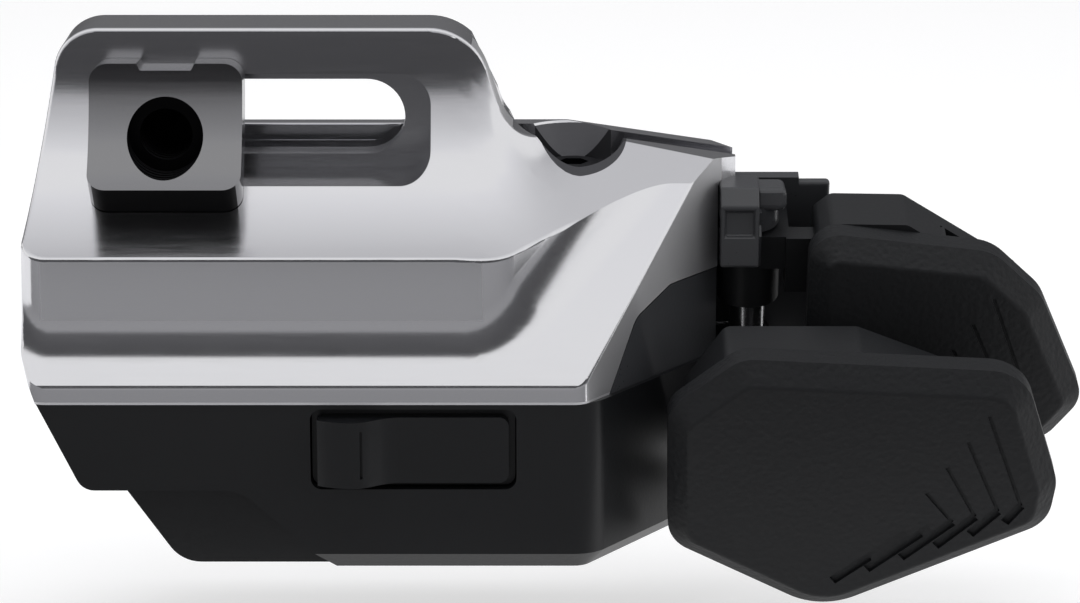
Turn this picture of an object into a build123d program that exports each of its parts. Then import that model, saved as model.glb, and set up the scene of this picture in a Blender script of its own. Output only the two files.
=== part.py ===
"""Wireless electronic gear shifter for a flat handlebar, right hand.

X runs along the handlebar towards the paddles, Y away from the rider and Z up,
in millimetres. The origin is the mouth of the threaded fixing hole, on the axis
of the bolt that holds the shifter.
"""

from build123d import *
from math import asin, atan2, cos, degrees, radians, sin, tan
import os

os.makedirs("parts", exist_ok=True)


def save(builder, name):
    """Label a finished piece and write it to its own file."""
    builder.part.label = name
    export_step(builder.part, f"parts/{name}.step")


# Fits shared by all pieces
fit = 0.1
run_clear = 0.05
screw_fit = 0.05

# Concave saddle for the handlebar
saddle_y = -12.73
saddle_z = 6.26
saddle_r = 16.3
crease_angle = 66.4

# Fixing nut, which slides along the saddle
nut_thick = 3.0
slide_clear = 0.1
nut_half_w = 6.1
nut_top_angle = 2.8
nut_low_angle = 48.3
nut_corner_r = 1.5
nut_notch_w = 5.3
nut_notch_depth = 0.55
key_half_l = 5.2
key_half_h = 4.1
stem_r = 2.95
stem_end_y = 11.4
thread_r = 2.1
thread_depth = 7.0
sink_r = 3.0
retainer_r = 4.2
retainer_thick = 0.8
clip_thick = 0.4
clip_groove = 0.4
clip_rim = 0.7
clip_mouth = 1.6

# Loop plate of the cover, with its recess and slot
loop_top_z = 7.9
loop_left_x = -8.7
left_low_x = -11.3
left_low_z = -8.0
loop_right_x = 24.4
loop_corner_r = 3.6
loop_far_corner_r = 5.0
loop_sweep = 5.1
sweep_z = -1.4
sweep_r = 4.0
web_front_y = 6.8
web_thick = 2.5
recess_left_x = -5.7
recess_right_x = 21.0
recess_half_h = 4.2
recess_corner_r = 2.5
slot_half_h = 3.1
slot_left_x = -0.4
slot_right_x = 15.7

# Body of the cover
back_y = 13.5
back_rib_y = 11.8
back_rib_top_z = -1.7
channel_floor_z = -4.7
flange_y = -9.0
flange_z = -18.4
flange_r = 0.5
crease_r = 0.4
rim_r = 0.3
side_edge_r = 0.3
split_z = -19.8
deck_angle = 46.7
trough_r = 5.0
left_corner_r = 2.2
foot_corner_x = 1.3
foot_corner_z = 3.5
foot_corner_r = 2.0
cover_wall = 1.7

# Right end of the cover, set out from the lever axle
axle_x = 47.0
side_set = 13.8
side_angle = 35.0
side_end_y = 6.9
front_corner_r = 1.5
band_turn_set = 7.2
band_turn_angle = 42.0
band_turn_r = 6.0
overhang_set = 1.2
overhang_y = 1.6
overhang_corner = 1.8
top_fall_angle = 8.4
ramp_start_set = 1.4
ramp_end_set = 0.2
ramp_y = 0.1
ramp_z = -6.8
ramp_rise_angle = 28.8
ramp_top_y = 9.0
ramp_steps = 4

# Hollow of the cover and what lies in it
hollow_left_x = -7.5
hollow_right_set = 6.2
hollow_front_y = -6.2
hollow_back_y = 8.5
hollow_top_z = -7.0
board_edge = 2.25
board_w = 12.0
board_y = 1.6
board_z = -18.9
board_thick = 1.0
post_r = 1.2
post_inset = 2.0
radio_l = 10.0
radio_w = 8.0
radio_h = 1.8
gasket_h = 0.7
gasket_w = 0.8
gasket_inset = 0.6

# Dimple and its screw
dimple_set = 0.7
dimple_y = 8.8
dimple_r = 4.3
dimple_floor_r = 2.7
dimple_floor_z = -5.4
dimple_rim_z = -2.0
dimple_head_r = 2.3
dimple_head_h = 1.2
dimple_shank_r = 1.1
dimple_shank_l = 18.0
dimple_socket_r = 1.25

# Small screws
screw_r = 0.8
screw_head_r = 1.4
screw_head_h = 1.2
screw_socket_r = 0.75
screw_reach = 4.0
ear_screw_l = 6.0
clamp_screw_l = 4.0
head_sink = 0.5

# Lower housing
housing_front_y = -8.6
housing_left_x = -10.0
housing_slant_x = -6.5
housing_slant_r = 1.5
belly_z = -27.0
belly_top_x = 6.0
belly_low_x = 13.5
belly_r = 4.0
belly_chamfer = 0.6
bottom_z = -33.8
bottom_chamfer = 1.5
step_left_x = -3.8
step_low_x = 1.0
step_low_r = 3.0
step_set_back = 2.5
housing_side_set = 0.8
housing_corner_r = 3.0

# Battery drawer, its cell, seal and contacts
tray_left_x = 11.6
tray_right_x = 27.9
tray_top_z = -20.3
tray_low_z = -26.9
tray_corner_r = 0.9
tray_clear = 0.1
tray_back_y = 8.6
tray_end_gap = 0.4
panel_gap = 0.5
panel_thick = 1.2
panel_sink = 0.2
lip_height = 1.5
lip_l = 6.4
lip_groove_w = 0.4
lip_groove_depth = 0.4
plug_depth = 2.4
seal_inset = 0.7
seal_depth = 0.6
seal_w = 0.8
cell_r = 8.0
cell_h = 3.2
cell_edge = 0.35
cell_y = 0.6
cell_z = -25.4
cell_clear = 0.1
contact_l = 5.0
contact_w = 2.4
contact_thick = 0.3
leaf_set = 6.0
leaf_l = 7.0

# Bay behind the slanted side, and the notch that the bracket's panel fills
bay_set = 2.4
bay_top_z = -5.4
bay_floor_z = -31.5
bay_roof = 2.4
block_gap = 1.2
block_back_y = 14.7
notch_top_z = -12.6
notch_drop = 1.7
notch_low_s = 3.6
notch_bend_s = 7.4
notch_rise_s = 5.0
notch_r = 2.0

# Ear of the bracket, screwed to the housing's back
ear_w = 5.6
ear_h = 8.0
ear_thick = 1.6
ear_set = 2.0
ear_z = -27.0
ear_screw_set = 0.9
ear_screw_rise = 2.3

# Lever axle, tilted forwards at its top, and the bracket round it
axle_y = 10.4
axle_z = -16.575
axle_tilt = 15.0
axle_r = 1.0
axle_head_r = 1.6
axle_head_h = 0.5
axle_tip = 1.2
axle_groove = 0.3
bush_wall = 0.5
hub_r = 2.6
hub_clear = 0.4
upper_hub_low = 4.6
upper_hub_top = 7.6
lower_hub_low = -8.2
lower_hub_top = -5.2
lug_thick = 2.2
lug_gap = 0.25
lug_side_gap = 0.4
boss_r = 2.4
shroud_wall = 0.8
shroud_low = 5.6
shroud_bend = 8.3
shroud_top = 10.6
shroud_right = 0.8
shroud_crest = -0.8
shroud_pocket = 2.3
shroud_pocket_depth = 0.5
web_gap = 0.15
web_plate = 1.0
web_right = 4.2

# Lever arms, with tails that push the switches
tail_l = 10.2
tail_half_w = 1.0
tail_clear = 0.15
tail_back_clear = 0.5
plunger_arm = 9.0
plunger_r = 0.9
plunger_l = 2.6
plunger_gap = 1.05
plunger_edge_r = 0.4
switch_w = 2.2
switch_h = 1.1
button_h = 0.4
button_r = 0.6
press_angle = 6.0
adjust = 1.2
upper_plate_l = 3.2
tongue_h = 5.0
tongue_thick = 2.0
tongue_root = 0.3
upper_tongue_back = -0.9
upper_tongue_end = 16.0
upper_screw_x = 11.0
neck_x = 0.4
neck_w = 3.8
lower_tongue_back = -12.5
lower_tongue_end = 10.0
lower_screw_x = 6.0
skirt_low = 0.9
skirt_wall = 0.4

# Return springs
spring_r = 1.8
wire_r = 0.2
spring_h = 1.8
spring_gap = 1.2

# Paddles: pads in front, stiff cores behind, all measured from the axle
pad_thick = 3.5
pad_bevel = 1.6
pad_edge_r = 0.5
core_corner_r = 1.0
lower_pad_back = -16.0
lower_core_back = -11.4
upper_pad_back = -4.4
upper_core_back = 0.9
lower_pad_corners = [
    (-7.1, 0.4), (-6.9, -11.9), (5.7, -18.7), (23.7, -10.2), (24.2, -6.3), (21.0, 3.9), (-1.4, 5.1),
]
lower_pad_radii = (2.5, 3.0, 6.0, 3.0, 3.5, 4.0, 3.0)
lower_core_corners = [
    (-5.6, -0.6), (-3.0, -11.2), (5.3, -16.3), (20.0, -9.2), (21.0, -4.6), (18.0, 0.2), (8.2, 4.3), (-2.4, 4.3),
]
upper_pad_corners = [
    (4.6, 10.1), (19.4, 8.3), (23.6, 4.2), (27.7, -5.5), (24.8, -9.3), (11.0, -12.0), (4.5, -9.0),
]
upper_pad_radii = (2.4, 4.0, 4.0, 2.6, 2.6, 4.0, 2.6)
upper_core_corners = [
    (5.2, 8.6), (6.6, 9.8), (12.6, 9.7), (22.2, 3.4), (26.2, -5.0), (24.2, -8.0), (11.0, -11.0), (5.2, -8.2),
]
rib_count = 6
rib_tops = 4
rib_w = 0.8
rib_depth = 0.35
rib_line_w = 0.3
rib_line_depth = 0.2
rib_low_ends = [(6.4, -14.8), (20.0, -9.2)]
rib_bends = [(12.2, -10.2), (21.2, -7.6)]
rib_top_ends = [(13.6, -6.4), (18.2, 0.8)]
upper_rib_shift = (1.3, 4.0)

# Values that follow from the sizes above
far = 60.0
deck_slope = tan(radians(deck_angle))
side_slope = tan(radians(side_angle))
ramp_slope = tan(radians(ramp_rise_angle))
band_y = saddle_y + saddle_r * cos(radians(crease_angle))
crease_z = saddle_z - saddle_r * sin(radians(crease_angle))
nut_face_r = saddle_r - nut_thick
web_back_y = web_front_y + web_thick
sweep_x = loop_right_x + loop_sweep
side_x = axle_x - side_set
side_end_x = side_x + side_slope * (side_end_y - flange_y)
band_turn_x = side_x - band_turn_set
overhang_x = axle_x - overhang_set
ramp_start_x = loop_right_x - ramp_start_set
ramp_end_x = side_x - ramp_end_set
hollow_right_x = side_x - hollow_right_set
dimple_x = side_x - dimple_set
dimple_taper = degrees(atan2(dimple_r - dimple_floor_r, dimple_rim_z - dimple_floor_z))
bay_left_x = side_x + bay_set
room_r = hub_r + hub_clear
block_right_x = axle_x - room_r - block_gap
notch_end_s = (side_end_y - flange_y) / cos(radians(side_angle))
board_l = hollow_right_x - hollow_left_x - 2 * board_edge
board_x = (hollow_left_x + hollow_right_x) / 2
post_places = [
    (board_x + side * (board_l / 2 - post_inset), board_y + end * (board_w / 2 - post_inset))
    for side in (-1, 1)
    for end in (-1, 1)
]
screw_places = [(hollow_left_x + 2.9, 11.2), (14.0, 11.2), (side_x - 1.8, flange_y + 3.4)]
ear_x = bay_left_x - ear_set
ear_screw_places = [
    (ear_x - ear_screw_set, ear_z - ear_screw_rise),
    (ear_x - ear_screw_set, ear_z + ear_screw_rise),
]
tray_x = (tray_left_x + tray_right_x) / 2
tray_z = (tray_top_z + tray_low_z) / 2
tray_w = tray_right_x - tray_left_x - 2 * tray_clear
tray_h = tray_top_z - tray_low_z - 2 * tray_clear
panel_w = tray_w - 2 * panel_gap
panel_h = tray_h - 2 * panel_gap
panel_left_x = tray_x - panel_w / 2
plug_front_y = housing_front_y + panel_thick - panel_sink
panel_y = plug_front_y - panel_thick
bed_h = cell_z + cell_h - panel_gap - tray_z + tray_h / 2
leaf_z = cell_z + cell_h + panel_sink
leaf_y = cell_y + leaf_set
clip_y = web_back_y + slide_clear + retainer_thick + slide_clear
lug_left = side_end_x + lug_side_gap - axle_x
block_right = block_right_x - axle_x
block_root = block_right - 1.5
lever_levels = [(upper_hub_low, upper_hub_top), (lower_hub_low, lower_hub_top)]
axle_low = lower_hub_low - lug_gap - lug_thick
lug_top = upper_hub_top + lug_gap + lug_thick
tail_way_l = tail_l + tail_back_clear
tail_sweep = tail_way_l * tan(radians(press_angle))
switch_y = -tail_half_w - run_clear - plunger_l - plunger_gap + fit
bush_r = axle_r + run_clear + bush_wall
lower_tongue_start = neck_x - neck_w / 2
lower_tongue_z = (lower_hub_low + lower_hub_top) / 2
upper_tongue_z = upper_hub_top - tongue_h / 2
axle_plane = Plane(
    origin=(axle_x, axle_y, axle_z),
    x_dir=(1, 0, 0),
    z_dir=(0, -sin(radians(axle_tilt)), cos(radians(axle_tilt))),
)
side_wall_plane = Plane(
    origin=(side_x, flange_y, 0),
    x_dir=(sin(radians(side_angle)), cos(radians(side_angle)), 0),
    z_dir=(cos(radians(side_angle)), -sin(radians(side_angle)), 0),
)


def side_plane_x(y, inset=0.0):
    """X of the cover's slanted side at a depth, moved inwards by a wall."""
    return side_x + side_slope * (y - flange_y) - inset / cos(radians(side_angle))


def saddle_point(angle, radius):
    """Depth and height on the saddle's circle, counted down from level."""
    return (saddle_y + radius * cos(radians(angle)), saddle_z - radius * sin(radians(angle)))


def deck_height(y):
    """Height of the sloping deck at a depth."""
    return flange_z + deck_slope * (y - flange_y)


def ramp_height(y):
    """Height of the ramp at a depth."""
    return ramp_z + ramp_slope * (y - ramp_y)


def lever_plane(height):
    """Plane square to the axle at a height along it."""
    return axle_plane.offset(height)


def paddle_plane(depth):
    """Plane of the paddles' faces at a depth from the axle, facing the rider."""
    return Plane(
        origin=axle_plane.origin + axle_plane.y_dir * depth,
        x_dir=axle_plane.x_dir,
        z_dir=-axle_plane.y_dir,
    )


def bracket_plane(reach):
    """Plane across the axle at a reach along X, for side outlines."""
    return Plane(
        origin=axle_plane.origin + axle_plane.x_dir * reach,
        x_dir=axle_plane.y_dir,
        z_dir=axle_plane.x_dir,
    )


def bay_space(inset):
    """Space behind the slanted side and under the deck, shrunk by a fit."""
    left = bay_left_x + inset
    wall_x = (cover_wall + inset) / cos(radians(side_angle))
    front = flange_y + (left - side_x + wall_x) / side_slope
    right = side_plane_x(side_end_y, cover_wall + inset)
    deck_drop = (cover_wall + inset) / cos(radians(deck_angle))
    ramp_drop = (bay_roof + inset) / cos(radians(ramp_rise_angle))
    top = bay_top_z - inset
    top_y = ramp_y + (top + ramp_drop - ramp_z) / ramp_slope
    deck_base = flange_z - deck_slope * flange_y - deck_drop
    ramp_base = ramp_z - ramp_slope * ramp_y - ramp_drop
    meet_y = (ramp_base - deck_base) / (deck_slope - ramp_slope)
    with BuildPart() as space:
        with BuildSketch(Plane.XY.offset(bay_floor_z)):
            Polygon((left, far), (left, front), (right, side_end_y), (far, side_end_y), (far, far), align=None)
        extrude(amount=top - bay_floor_z)
        with BuildSketch(Plane.YZ.offset(left)):
            Polygon(
                (flange_y, bay_floor_z),
                (flange_y, deck_height(flange_y) - deck_drop),
                (meet_y, deck_height(meet_y) - deck_drop),
                (top_y, top),
                (far, top),
                (far, bay_floor_z),
                align=None,
            )
        extrude(amount=far, mode=Mode.INTERSECT)
    return space.part


def notch_outline(inset):
    """Opening in the slanted side that the bracket's panel fills."""
    with BuildSketch() as outline:
        with BuildLine():
            FilletPolyline(
                (notch_low_s + inset, split_z),
                (notch_bend_s + inset, notch_top_z - notch_drop - inset),
                (notch_bend_s + notch_rise_s, notch_top_z - inset),
                (notch_end_s - inset, notch_top_z - inset),
                radius=(notch_r, notch_r),
            )
            Line((notch_end_s - inset, notch_top_z - inset), (notch_end_s - inset, split_z))
            Line((notch_end_s - inset, split_z), (notch_low_s + inset, split_z))
        make_face()
    return outline.sketch


def saddle_profile(share):
    """Space in front of the cover, from saddle at 0 to ramp at 1."""
    low = saddle_point(crease_angle + 8, saddle_r)
    middle = saddle_point(crease_angle / 2, saddle_r)
    top = saddle_point(-degrees(asin((loop_top_z + 0.5 - saddle_z) / saddle_r)), saddle_r)
    ramp_points = [
        (low[0], ramp_height(low[0])),
        ((low[0] + ramp_top_y) / 2, ramp_height((low[0] + ramp_top_y) / 2) - 0.1),
        (ramp_top_y, ramp_height(ramp_top_y)),
    ]
    points = [
        (a[0] + share * (b[0] - a[0]), a[1] + share * (b[1] - a[1]))
        for a, b in zip((low, middle, top), ramp_points)
    ]
    with BuildSketch() as space:
        with BuildLine():
            ThreePointArc(*points)
            Polyline(points[2], (points[2][0], far / 2), (-far / 2, far / 2), (-far / 2, points[0][1]), points[0])
        make_face()
    return space.sketch


def gasket_ring(inset):
    """The gasket's ring round the hollow, narrowed by a fit."""
    middle = ((hollow_left_x + hollow_right_x) / 2, (hollow_front_y + hollow_back_y) / 2)
    inner_l = hollow_right_x - hollow_left_x + 2 * (gasket_inset + inset)
    inner_w = hollow_back_y - hollow_front_y + 2 * (gasket_inset + inset)
    ring_w = gasket_w - 2 * inset
    with BuildSketch() as ring:
        with Locations(middle):
            RectangleRounded(inner_l + 2 * ring_w, inner_w + 2 * ring_w, 2 * gasket_w)
            RectangleRounded(inner_l, inner_w, gasket_w, mode=Mode.SUBTRACT)
    return ring.sketch


def tail_way():
    """Room that one lever's tail sweeps, in the plane square to the axle."""
    with BuildSketch() as way:
        Polygon(
            (0, -tail_half_w - tail_clear),
            (0, tail_half_w + tail_back_clear),
            (-tail_way_l, tail_half_w + tail_back_clear),
            (-tail_way_l, -tail_half_w - tail_clear - tail_sweep),
            align=None,
        )
    return way.sketch


def screw_floor(place):
    """Height of the housing's underside where a screw goes in."""
    return belly_z if place[0] < step_low_x else bottom_z


# Top cover
with BuildPart() as top_cover:
    with BuildSketch(Plane.YZ.offset(left_low_x - far / 4)):
        Polygon(
            (flange_y, split_z),
            (flange_y, flange_z),
            (web_back_y, deck_height(web_back_y)),
            (web_back_y, channel_floor_z),
            (back_rib_y, channel_floor_z),
            (back_rib_y, back_rib_top_z),
            (back_y, back_rib_top_z),
            (back_y, split_z),
            align=None,
        )
        fillet(vertices().sort_by(Axis.X)[:2].sort_by(Axis.Y)[-1], flange_r)
    extrude(amount=2 * far)

    # Loop plate and band, with a soft trough where they rise out of the deck
    with BuildSketch(Plane.XY.offset(split_z)):
        band_end_y = band_y + tan(radians(band_turn_angle)) * (far - band_turn_x)
        with BuildLine():
            FilletPolyline(
                (left_low_x, web_back_y),
                (left_low_x, band_y),
                (band_turn_x, band_y),
                (far, band_end_y),
                radius=(left_corner_r, band_turn_r),
            )
            Polyline((far, band_end_y), (far, far), (left_low_x, far), (left_low_x, web_back_y))
        make_face()
        with Locations((far / 2, web_back_y / 2 - far)):
            Rectangle(4 * far, 2 * far + web_back_y, mode=Mode.INTERSECT)
    extrude(amount=loop_top_z + saddle_r - split_z)
    foot = top_cover.edges().filter_by(
        lambda e: left_low_x - 1 < e.center().X < axle_x
        and abs(e.center().Z - deck_height(e.center().Y)) < 0.2
        and flange_y + 0.5 < e.center().Y < web_back_y - 0.5
        and e.length > 0.5
    )
    fillet(foot, trough_r)

    # Outline from the front and outline from above
    with BuildSketch(Plane.XZ.offset(-far)):
        top_x = sweep_x - 2.2
        top_z = sweep_z + 0.4
        end_x = axle_x + 2
        end_z = top_z - tan(radians(top_fall_angle)) * (end_x - top_x)
        with BuildLine():
            FilletPolyline(
                (left_low_x + foot_corner_x, split_z),
                (left_low_x, split_z + foot_corner_z),
                (left_low_x, left_low_z),
                (loop_left_x, loop_top_z),
                (loop_right_x, loop_top_z),
                (top_x, top_z),
                (end_x, end_z),
                (end_x, split_z),
                radius=(foot_corner_r, loop_far_corner_r, loop_corner_r, loop_far_corner_r, sweep_r, 0.6),
            )
            Line((end_x, split_z), (left_low_x + foot_corner_x, split_z))
        make_face()
    extrude(amount=2 * far, mode=Mode.INTERSECT)
    with BuildSketch(Plane.XY.offset(split_z)):
        with BuildLine():
            FilletPolyline(
                (left_low_x, web_back_y),
                (left_low_x, flange_y),
                (side_x, flange_y),
                (side_end_x, side_end_y),
                radius=(left_corner_r, front_corner_r),
            )
            Polyline(
                (side_end_x, side_end_y),
                (overhang_x, side_end_y + overhang_y),
                (overhang_x, back_y - overhang_corner),
                (overhang_x - overhang_corner, back_y),
                (left_low_x, back_y),
                (left_low_x, web_back_y),
            )
        make_face()
    extrude(amount=far, mode=Mode.INTERSECT)

    # Saddle for the handlebar, which opens into a shallow ramp towards the levers
    with BuildSketch(Plane.YZ.offset(left_low_x - 2)):
        add(saddle_profile(0.0))
    extrude(amount=ramp_start_x - left_low_x + 2, mode=Mode.SUBTRACT)
    for step in range(ramp_steps + 1):
        share = step / ramp_steps
        with BuildSketch(Plane.YZ.offset(ramp_start_x + share * (ramp_end_x - ramp_start_x))):
            add(saddle_profile(share * share * (3 - 2 * share)))
    loft(mode=Mode.SUBTRACT)
    with BuildSketch(Plane.YZ.offset(ramp_end_x)):
        add(saddle_profile(1.0))
    extrude(amount=far, mode=Mode.SUBTRACT)

    # Soft edges: the crease over the band, the loop's rim and the deck's slanted edge
    crease = top_cover.edges().filter_by(
        lambda e: left_low_x + 1 < e.center().X
        and e.center().Y < (band_y + ramp_y) / 2 + 1.5
        and abs(e.center().Z - crease_z - 0.5) < 0.7
        and abs((e % 0.5).Z) < 0.4
    )
    fillet(crease, crease_r)
    rim = top_cover.edges().filter_by(
        lambda e: e.center().Y < web_front_y - 2.4
        and (e.center().Z > loop_top_z / 4 or e.center().X < loop_left_x - 0.5)
        and e.center().Z > left_low_z + 2
    )
    fillet(rim, rim_r)
    deck_edge = top_cover.edges().filter_by(
        lambda e: abs(e.center().X - side_plane_x(e.center().Y)) < 0.05
        and abs(e.center().Z - deck_height(e.center().Y)) < 0.05
        and e.length > front_corner_r
    )
    fillet(deck_edge, side_edge_r)

    # Recess and slot for the nut, cut through the web
    with BuildSketch(Plane.XZ.offset(-web_front_y)):
        with Locations(((recess_left_x + recess_right_x) / 2, 0)):
            RectangleRounded(recess_right_x - recess_left_x, 2 * recess_half_h, recess_corner_r)
    extrude(amount=far, mode=Mode.SUBTRACT)
    with BuildSketch(Plane.XZ.offset(-web_back_y)):
        with Locations(((slot_left_x + slot_right_x) / 2, 0)):
            SlotOverall(slot_right_x - slot_left_x + 2 * slot_half_h, 2 * slot_half_h)
    extrude(amount=far, both=True, mode=Mode.SUBTRACT)

    # Hollow under the deck, the gasket's groove and the bay for the bracket
    with BuildSketch(Plane.YZ.offset(hollow_left_x)):
        inner_y = hollow_front_y + 2.4
        Polygon(
            (hollow_front_y, split_z),
            (hollow_front_y, flange_z),
            (inner_y, deck_height(inner_y) - 3.0),
            (inner_y, crease_z - 2.1),
            (hollow_front_y + 5.4, hollow_top_z),
            (hollow_back_y, hollow_top_z),
            (hollow_back_y, split_z),
            align=None,
        )
    extrude(amount=hollow_right_x - hollow_left_x, mode=Mode.SUBTRACT)
    with BuildSketch(Plane.XY.offset(split_z)):
        add(gasket_ring(0.0))
    extrude(amount=gasket_h, mode=Mode.SUBTRACT)
    add(bay_space(0.0), mode=Mode.SUBTRACT)
    with BuildSketch(side_wall_plane):
        add(notch_outline(0.0))
    extrude(amount=-cover_wall - 3 * fit, mode=Mode.SUBTRACT)
    with BuildSketch(side_wall_plane):
        add(notch_outline(0.0))
    extrude(amount=far, mode=Mode.SUBTRACT)
    for low, top in lever_levels:
        with BuildSketch(lever_plane(low - lug_gap)):
            add(tail_way())
        extrude(amount=top - low + 2 * lug_gap, mode=Mode.SUBTRACT)

    # Dimple with its screw's bore, and the bores of the screws from below
    with BuildSketch(Plane.XY.offset(dimple_floor_z)):
        with Locations((dimple_x, dimple_y)):
            Circle(dimple_floor_r)
    extrude(amount=far / 4, taper=-dimple_taper, mode=Mode.SUBTRACT)
    with BuildSketch(Plane.XY.offset(split_z)):
        with Locations((dimple_x, dimple_y)):
            Circle(dimple_shank_r + screw_fit)
    extrude(amount=dimple_floor_z - split_z, mode=Mode.SUBTRACT)
    with BuildSketch(Plane.XY.offset(split_z)):
        with Locations(*screw_places):
            Circle(screw_r + screw_fit)
    extrude(amount=screw_reach + screw_fit, mode=Mode.SUBTRACT)
save(top_cover, "top_cover")


# Gasket between the cover and the housing
with BuildPart() as housing_gasket:
    with BuildSketch(Plane.XY.offset(split_z)):
        add(gasket_ring(screw_fit))
    extrude(amount=gasket_h - screw_fit)
save(housing_gasket, "housing_gasket")


# Screw in the dimple, with a hexagon socket
with BuildPart() as recess_screw:
    with BuildSketch(Plane.XY.offset(dimple_floor_z)):
        with Locations((dimple_x, dimple_y)):
            Circle(dimple_head_r)
    extrude(amount=dimple_head_h)
    chamfer(recess_screw.edges().group_by(Axis.Z)[-1], dimple_head_h / 5)
    with BuildSketch(Plane.XY.offset(dimple_floor_z + dimple_head_h)):
        with Locations((dimple_x, dimple_y)):
            RegularPolygon(dimple_socket_r, 6)
    extrude(amount=-dimple_head_h, mode=Mode.SUBTRACT)
    with BuildSketch(Plane.XY.offset(dimple_floor_z)):
        with Locations((dimple_x, dimple_y)):
            Circle(dimple_shank_r)
    extrude(amount=-dimple_shank_l)
save(recess_screw, "recess_screw")


# Lower housing: front body, the set-back step at its left and the slanted right side
with BuildPart() as lower_housing:
    with BuildSketch(Plane.XZ.offset(-housing_front_y)):
        with BuildLine():
            FilletPolyline(
                (housing_left_x, split_z),
                (housing_slant_x, belly_z),
                (belly_top_x, belly_z),
                (belly_low_x, bottom_z),
                radius=(housing_slant_r, belly_r),
            )
            Polyline((belly_low_x, bottom_z), (far, bottom_z), (far, split_z), (housing_left_x, split_z))
        make_face()
    extrude(amount=housing_front_y - back_y)
    with BuildSketch(Plane.XY.offset(bottom_z)):
        with BuildLine():
            FilletPolyline(
                (housing_left_x, housing_front_y),
                (side_x + housing_side_set, housing_front_y),
                (side_x + housing_side_set + side_slope * (side_end_y - housing_front_y), side_end_y),
                radius=housing_corner_r,
            )
            Polyline(
                (side_x + housing_side_set + side_slope * (side_end_y - housing_front_y), side_end_y),
                (block_right_x, side_end_y),
                (block_right_x, back_y),
                (housing_left_x, back_y),
                (housing_left_x, housing_front_y),
            )
        make_face()
    extrude(amount=far, mode=Mode.INTERSECT)
    low_edge = lower_housing.edges().filter_by(
        lambda e: abs(e.center().Z - bottom_z) < 0.01 and abs(e.center().Y - housing_front_y) < 0.01
    )
    chamfer(low_edge, bottom_chamfer)
    with BuildSketch(Plane.XZ.offset(-housing_front_y - step_set_back)):
        with BuildLine():
            FilletPolyline(
                (step_left_x, belly_z),
                (step_low_x, bottom_z),
                (belly_low_x + belly_r, bottom_z),
                radius=step_low_r,
            )
            Polyline(
                (belly_low_x + belly_r, bottom_z),
                (belly_low_x + belly_r, belly_z),
                (step_left_x, belly_z),
            )
        make_face()
    extrude(amount=housing_front_y + step_set_back - back_y)

    # Opening for the battery drawer
    with BuildSketch(Plane.XZ.offset(-housing_front_y)):
        with Locations((tray_x, tray_z)):
            RectangleRounded(tray_right_x - tray_left_x, tray_top_z - tray_low_z, tray_corner_r)
    extrude(amount=housing_front_y - tray_back_y - tray_end_gap, mode=Mode.SUBTRACT)

    # Bay for the bracket, its ear's recess and the screw bores
    with BuildSketch(Plane.XY.offset(bay_floor_z)):
        bay_wall_x = cover_wall / cos(radians(side_angle))
        bay_front_y = flange_y + (bay_left_x - side_x + bay_wall_x) / side_slope
        Polygon(
            (bay_left_x, far),
            (bay_left_x, bay_front_y),
            (side_plane_x(side_end_y, cover_wall), side_end_y),
            (far, side_end_y),
            (far, far),
            align=None,
        )
    extrude(amount=far, mode=Mode.SUBTRACT)
    with BuildSketch(Plane.XZ.offset(-back_y)):
        with Locations((ear_x, ear_z)):
            Rectangle(ear_w + 2 * fit, ear_h + 2 * fit)
    extrude(amount=ear_thick, mode=Mode.SUBTRACT)
    with BuildSketch(Plane.XZ.offset(-back_y)):
        with Locations(*ear_screw_places):
            Circle(screw_r + screw_fit)
    extrude(amount=ear_screw_l + screw_fit, mode=Mode.SUBTRACT)
    with BuildSketch(Plane.XY.offset(split_z)):
        with Locations((dimple_x, dimple_y)):
            Circle(dimple_shank_r + screw_fit)
    extrude(amount=dimple_floor_z - dimple_shank_l - screw_fit - split_z, mode=Mode.SUBTRACT)
    for place in screw_places:
        floor = screw_floor(place)
        with BuildSketch(Plane.XY.offset(floor)):
            with Locations(place):
                Circle(screw_r + screw_fit)
        extrude(amount=split_z - floor, mode=Mode.SUBTRACT)
        with BuildSketch(Plane.XY.offset(floor)):
            with Locations(place):
                Circle(screw_head_r + screw_fit)
        extrude(amount=screw_head_h + fit, mode=Mode.SUBTRACT)

    # Posts that carry the circuit board
    with BuildSketch(Plane.XY.offset(split_z)):
        with Locations(*post_places):
            Circle(post_r)
    extrude(amount=board_z - split_z)
save(lower_housing, "lower_housing")


# Screws from below, from the housing into the cover
with BuildPart() as bottom_screws:
    for place in screw_places:
        floor = screw_floor(place)
        with BuildSketch(Plane.XY.offset(floor + fit)):
            with Locations(place):
                Circle(screw_head_r)
        extrude(amount=screw_head_h)
        with BuildSketch(Plane.XY.offset(floor + fit)):
            with Locations(place):
                RegularPolygon(screw_socket_r, 6)
        extrude(amount=screw_head_h / 2, mode=Mode.SUBTRACT)
        with BuildSketch(Plane.XY.offset(floor + fit + screw_head_h)):
            with Locations(place):
                Circle(screw_r)
        extrude(amount=split_z + screw_reach - floor - fit - screw_head_h)
save(bottom_screws, "bottom_screws")


# Circuit board on its posts, with the radio on top
with BuildPart() as circuit_board:
    with BuildSketch(Plane.XY.offset(board_z)):
        with Locations((board_x, board_y)):
            RectangleRounded(board_l, board_w, post_r)
    extrude(amount=board_thick)
save(circuit_board, "circuit_board")

with BuildPart() as radio_module:
    with BuildSketch(Plane.XY.offset(board_z + board_thick)):
        with Locations((board_x - board_l / 4, board_y)):
            Rectangle(radio_l, radio_w)
    extrude(amount=radio_h)
    chamfer(radio_module.edges().group_by(Axis.Z)[-1], radio_h / 6)
save(radio_module, "radio_module")


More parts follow.
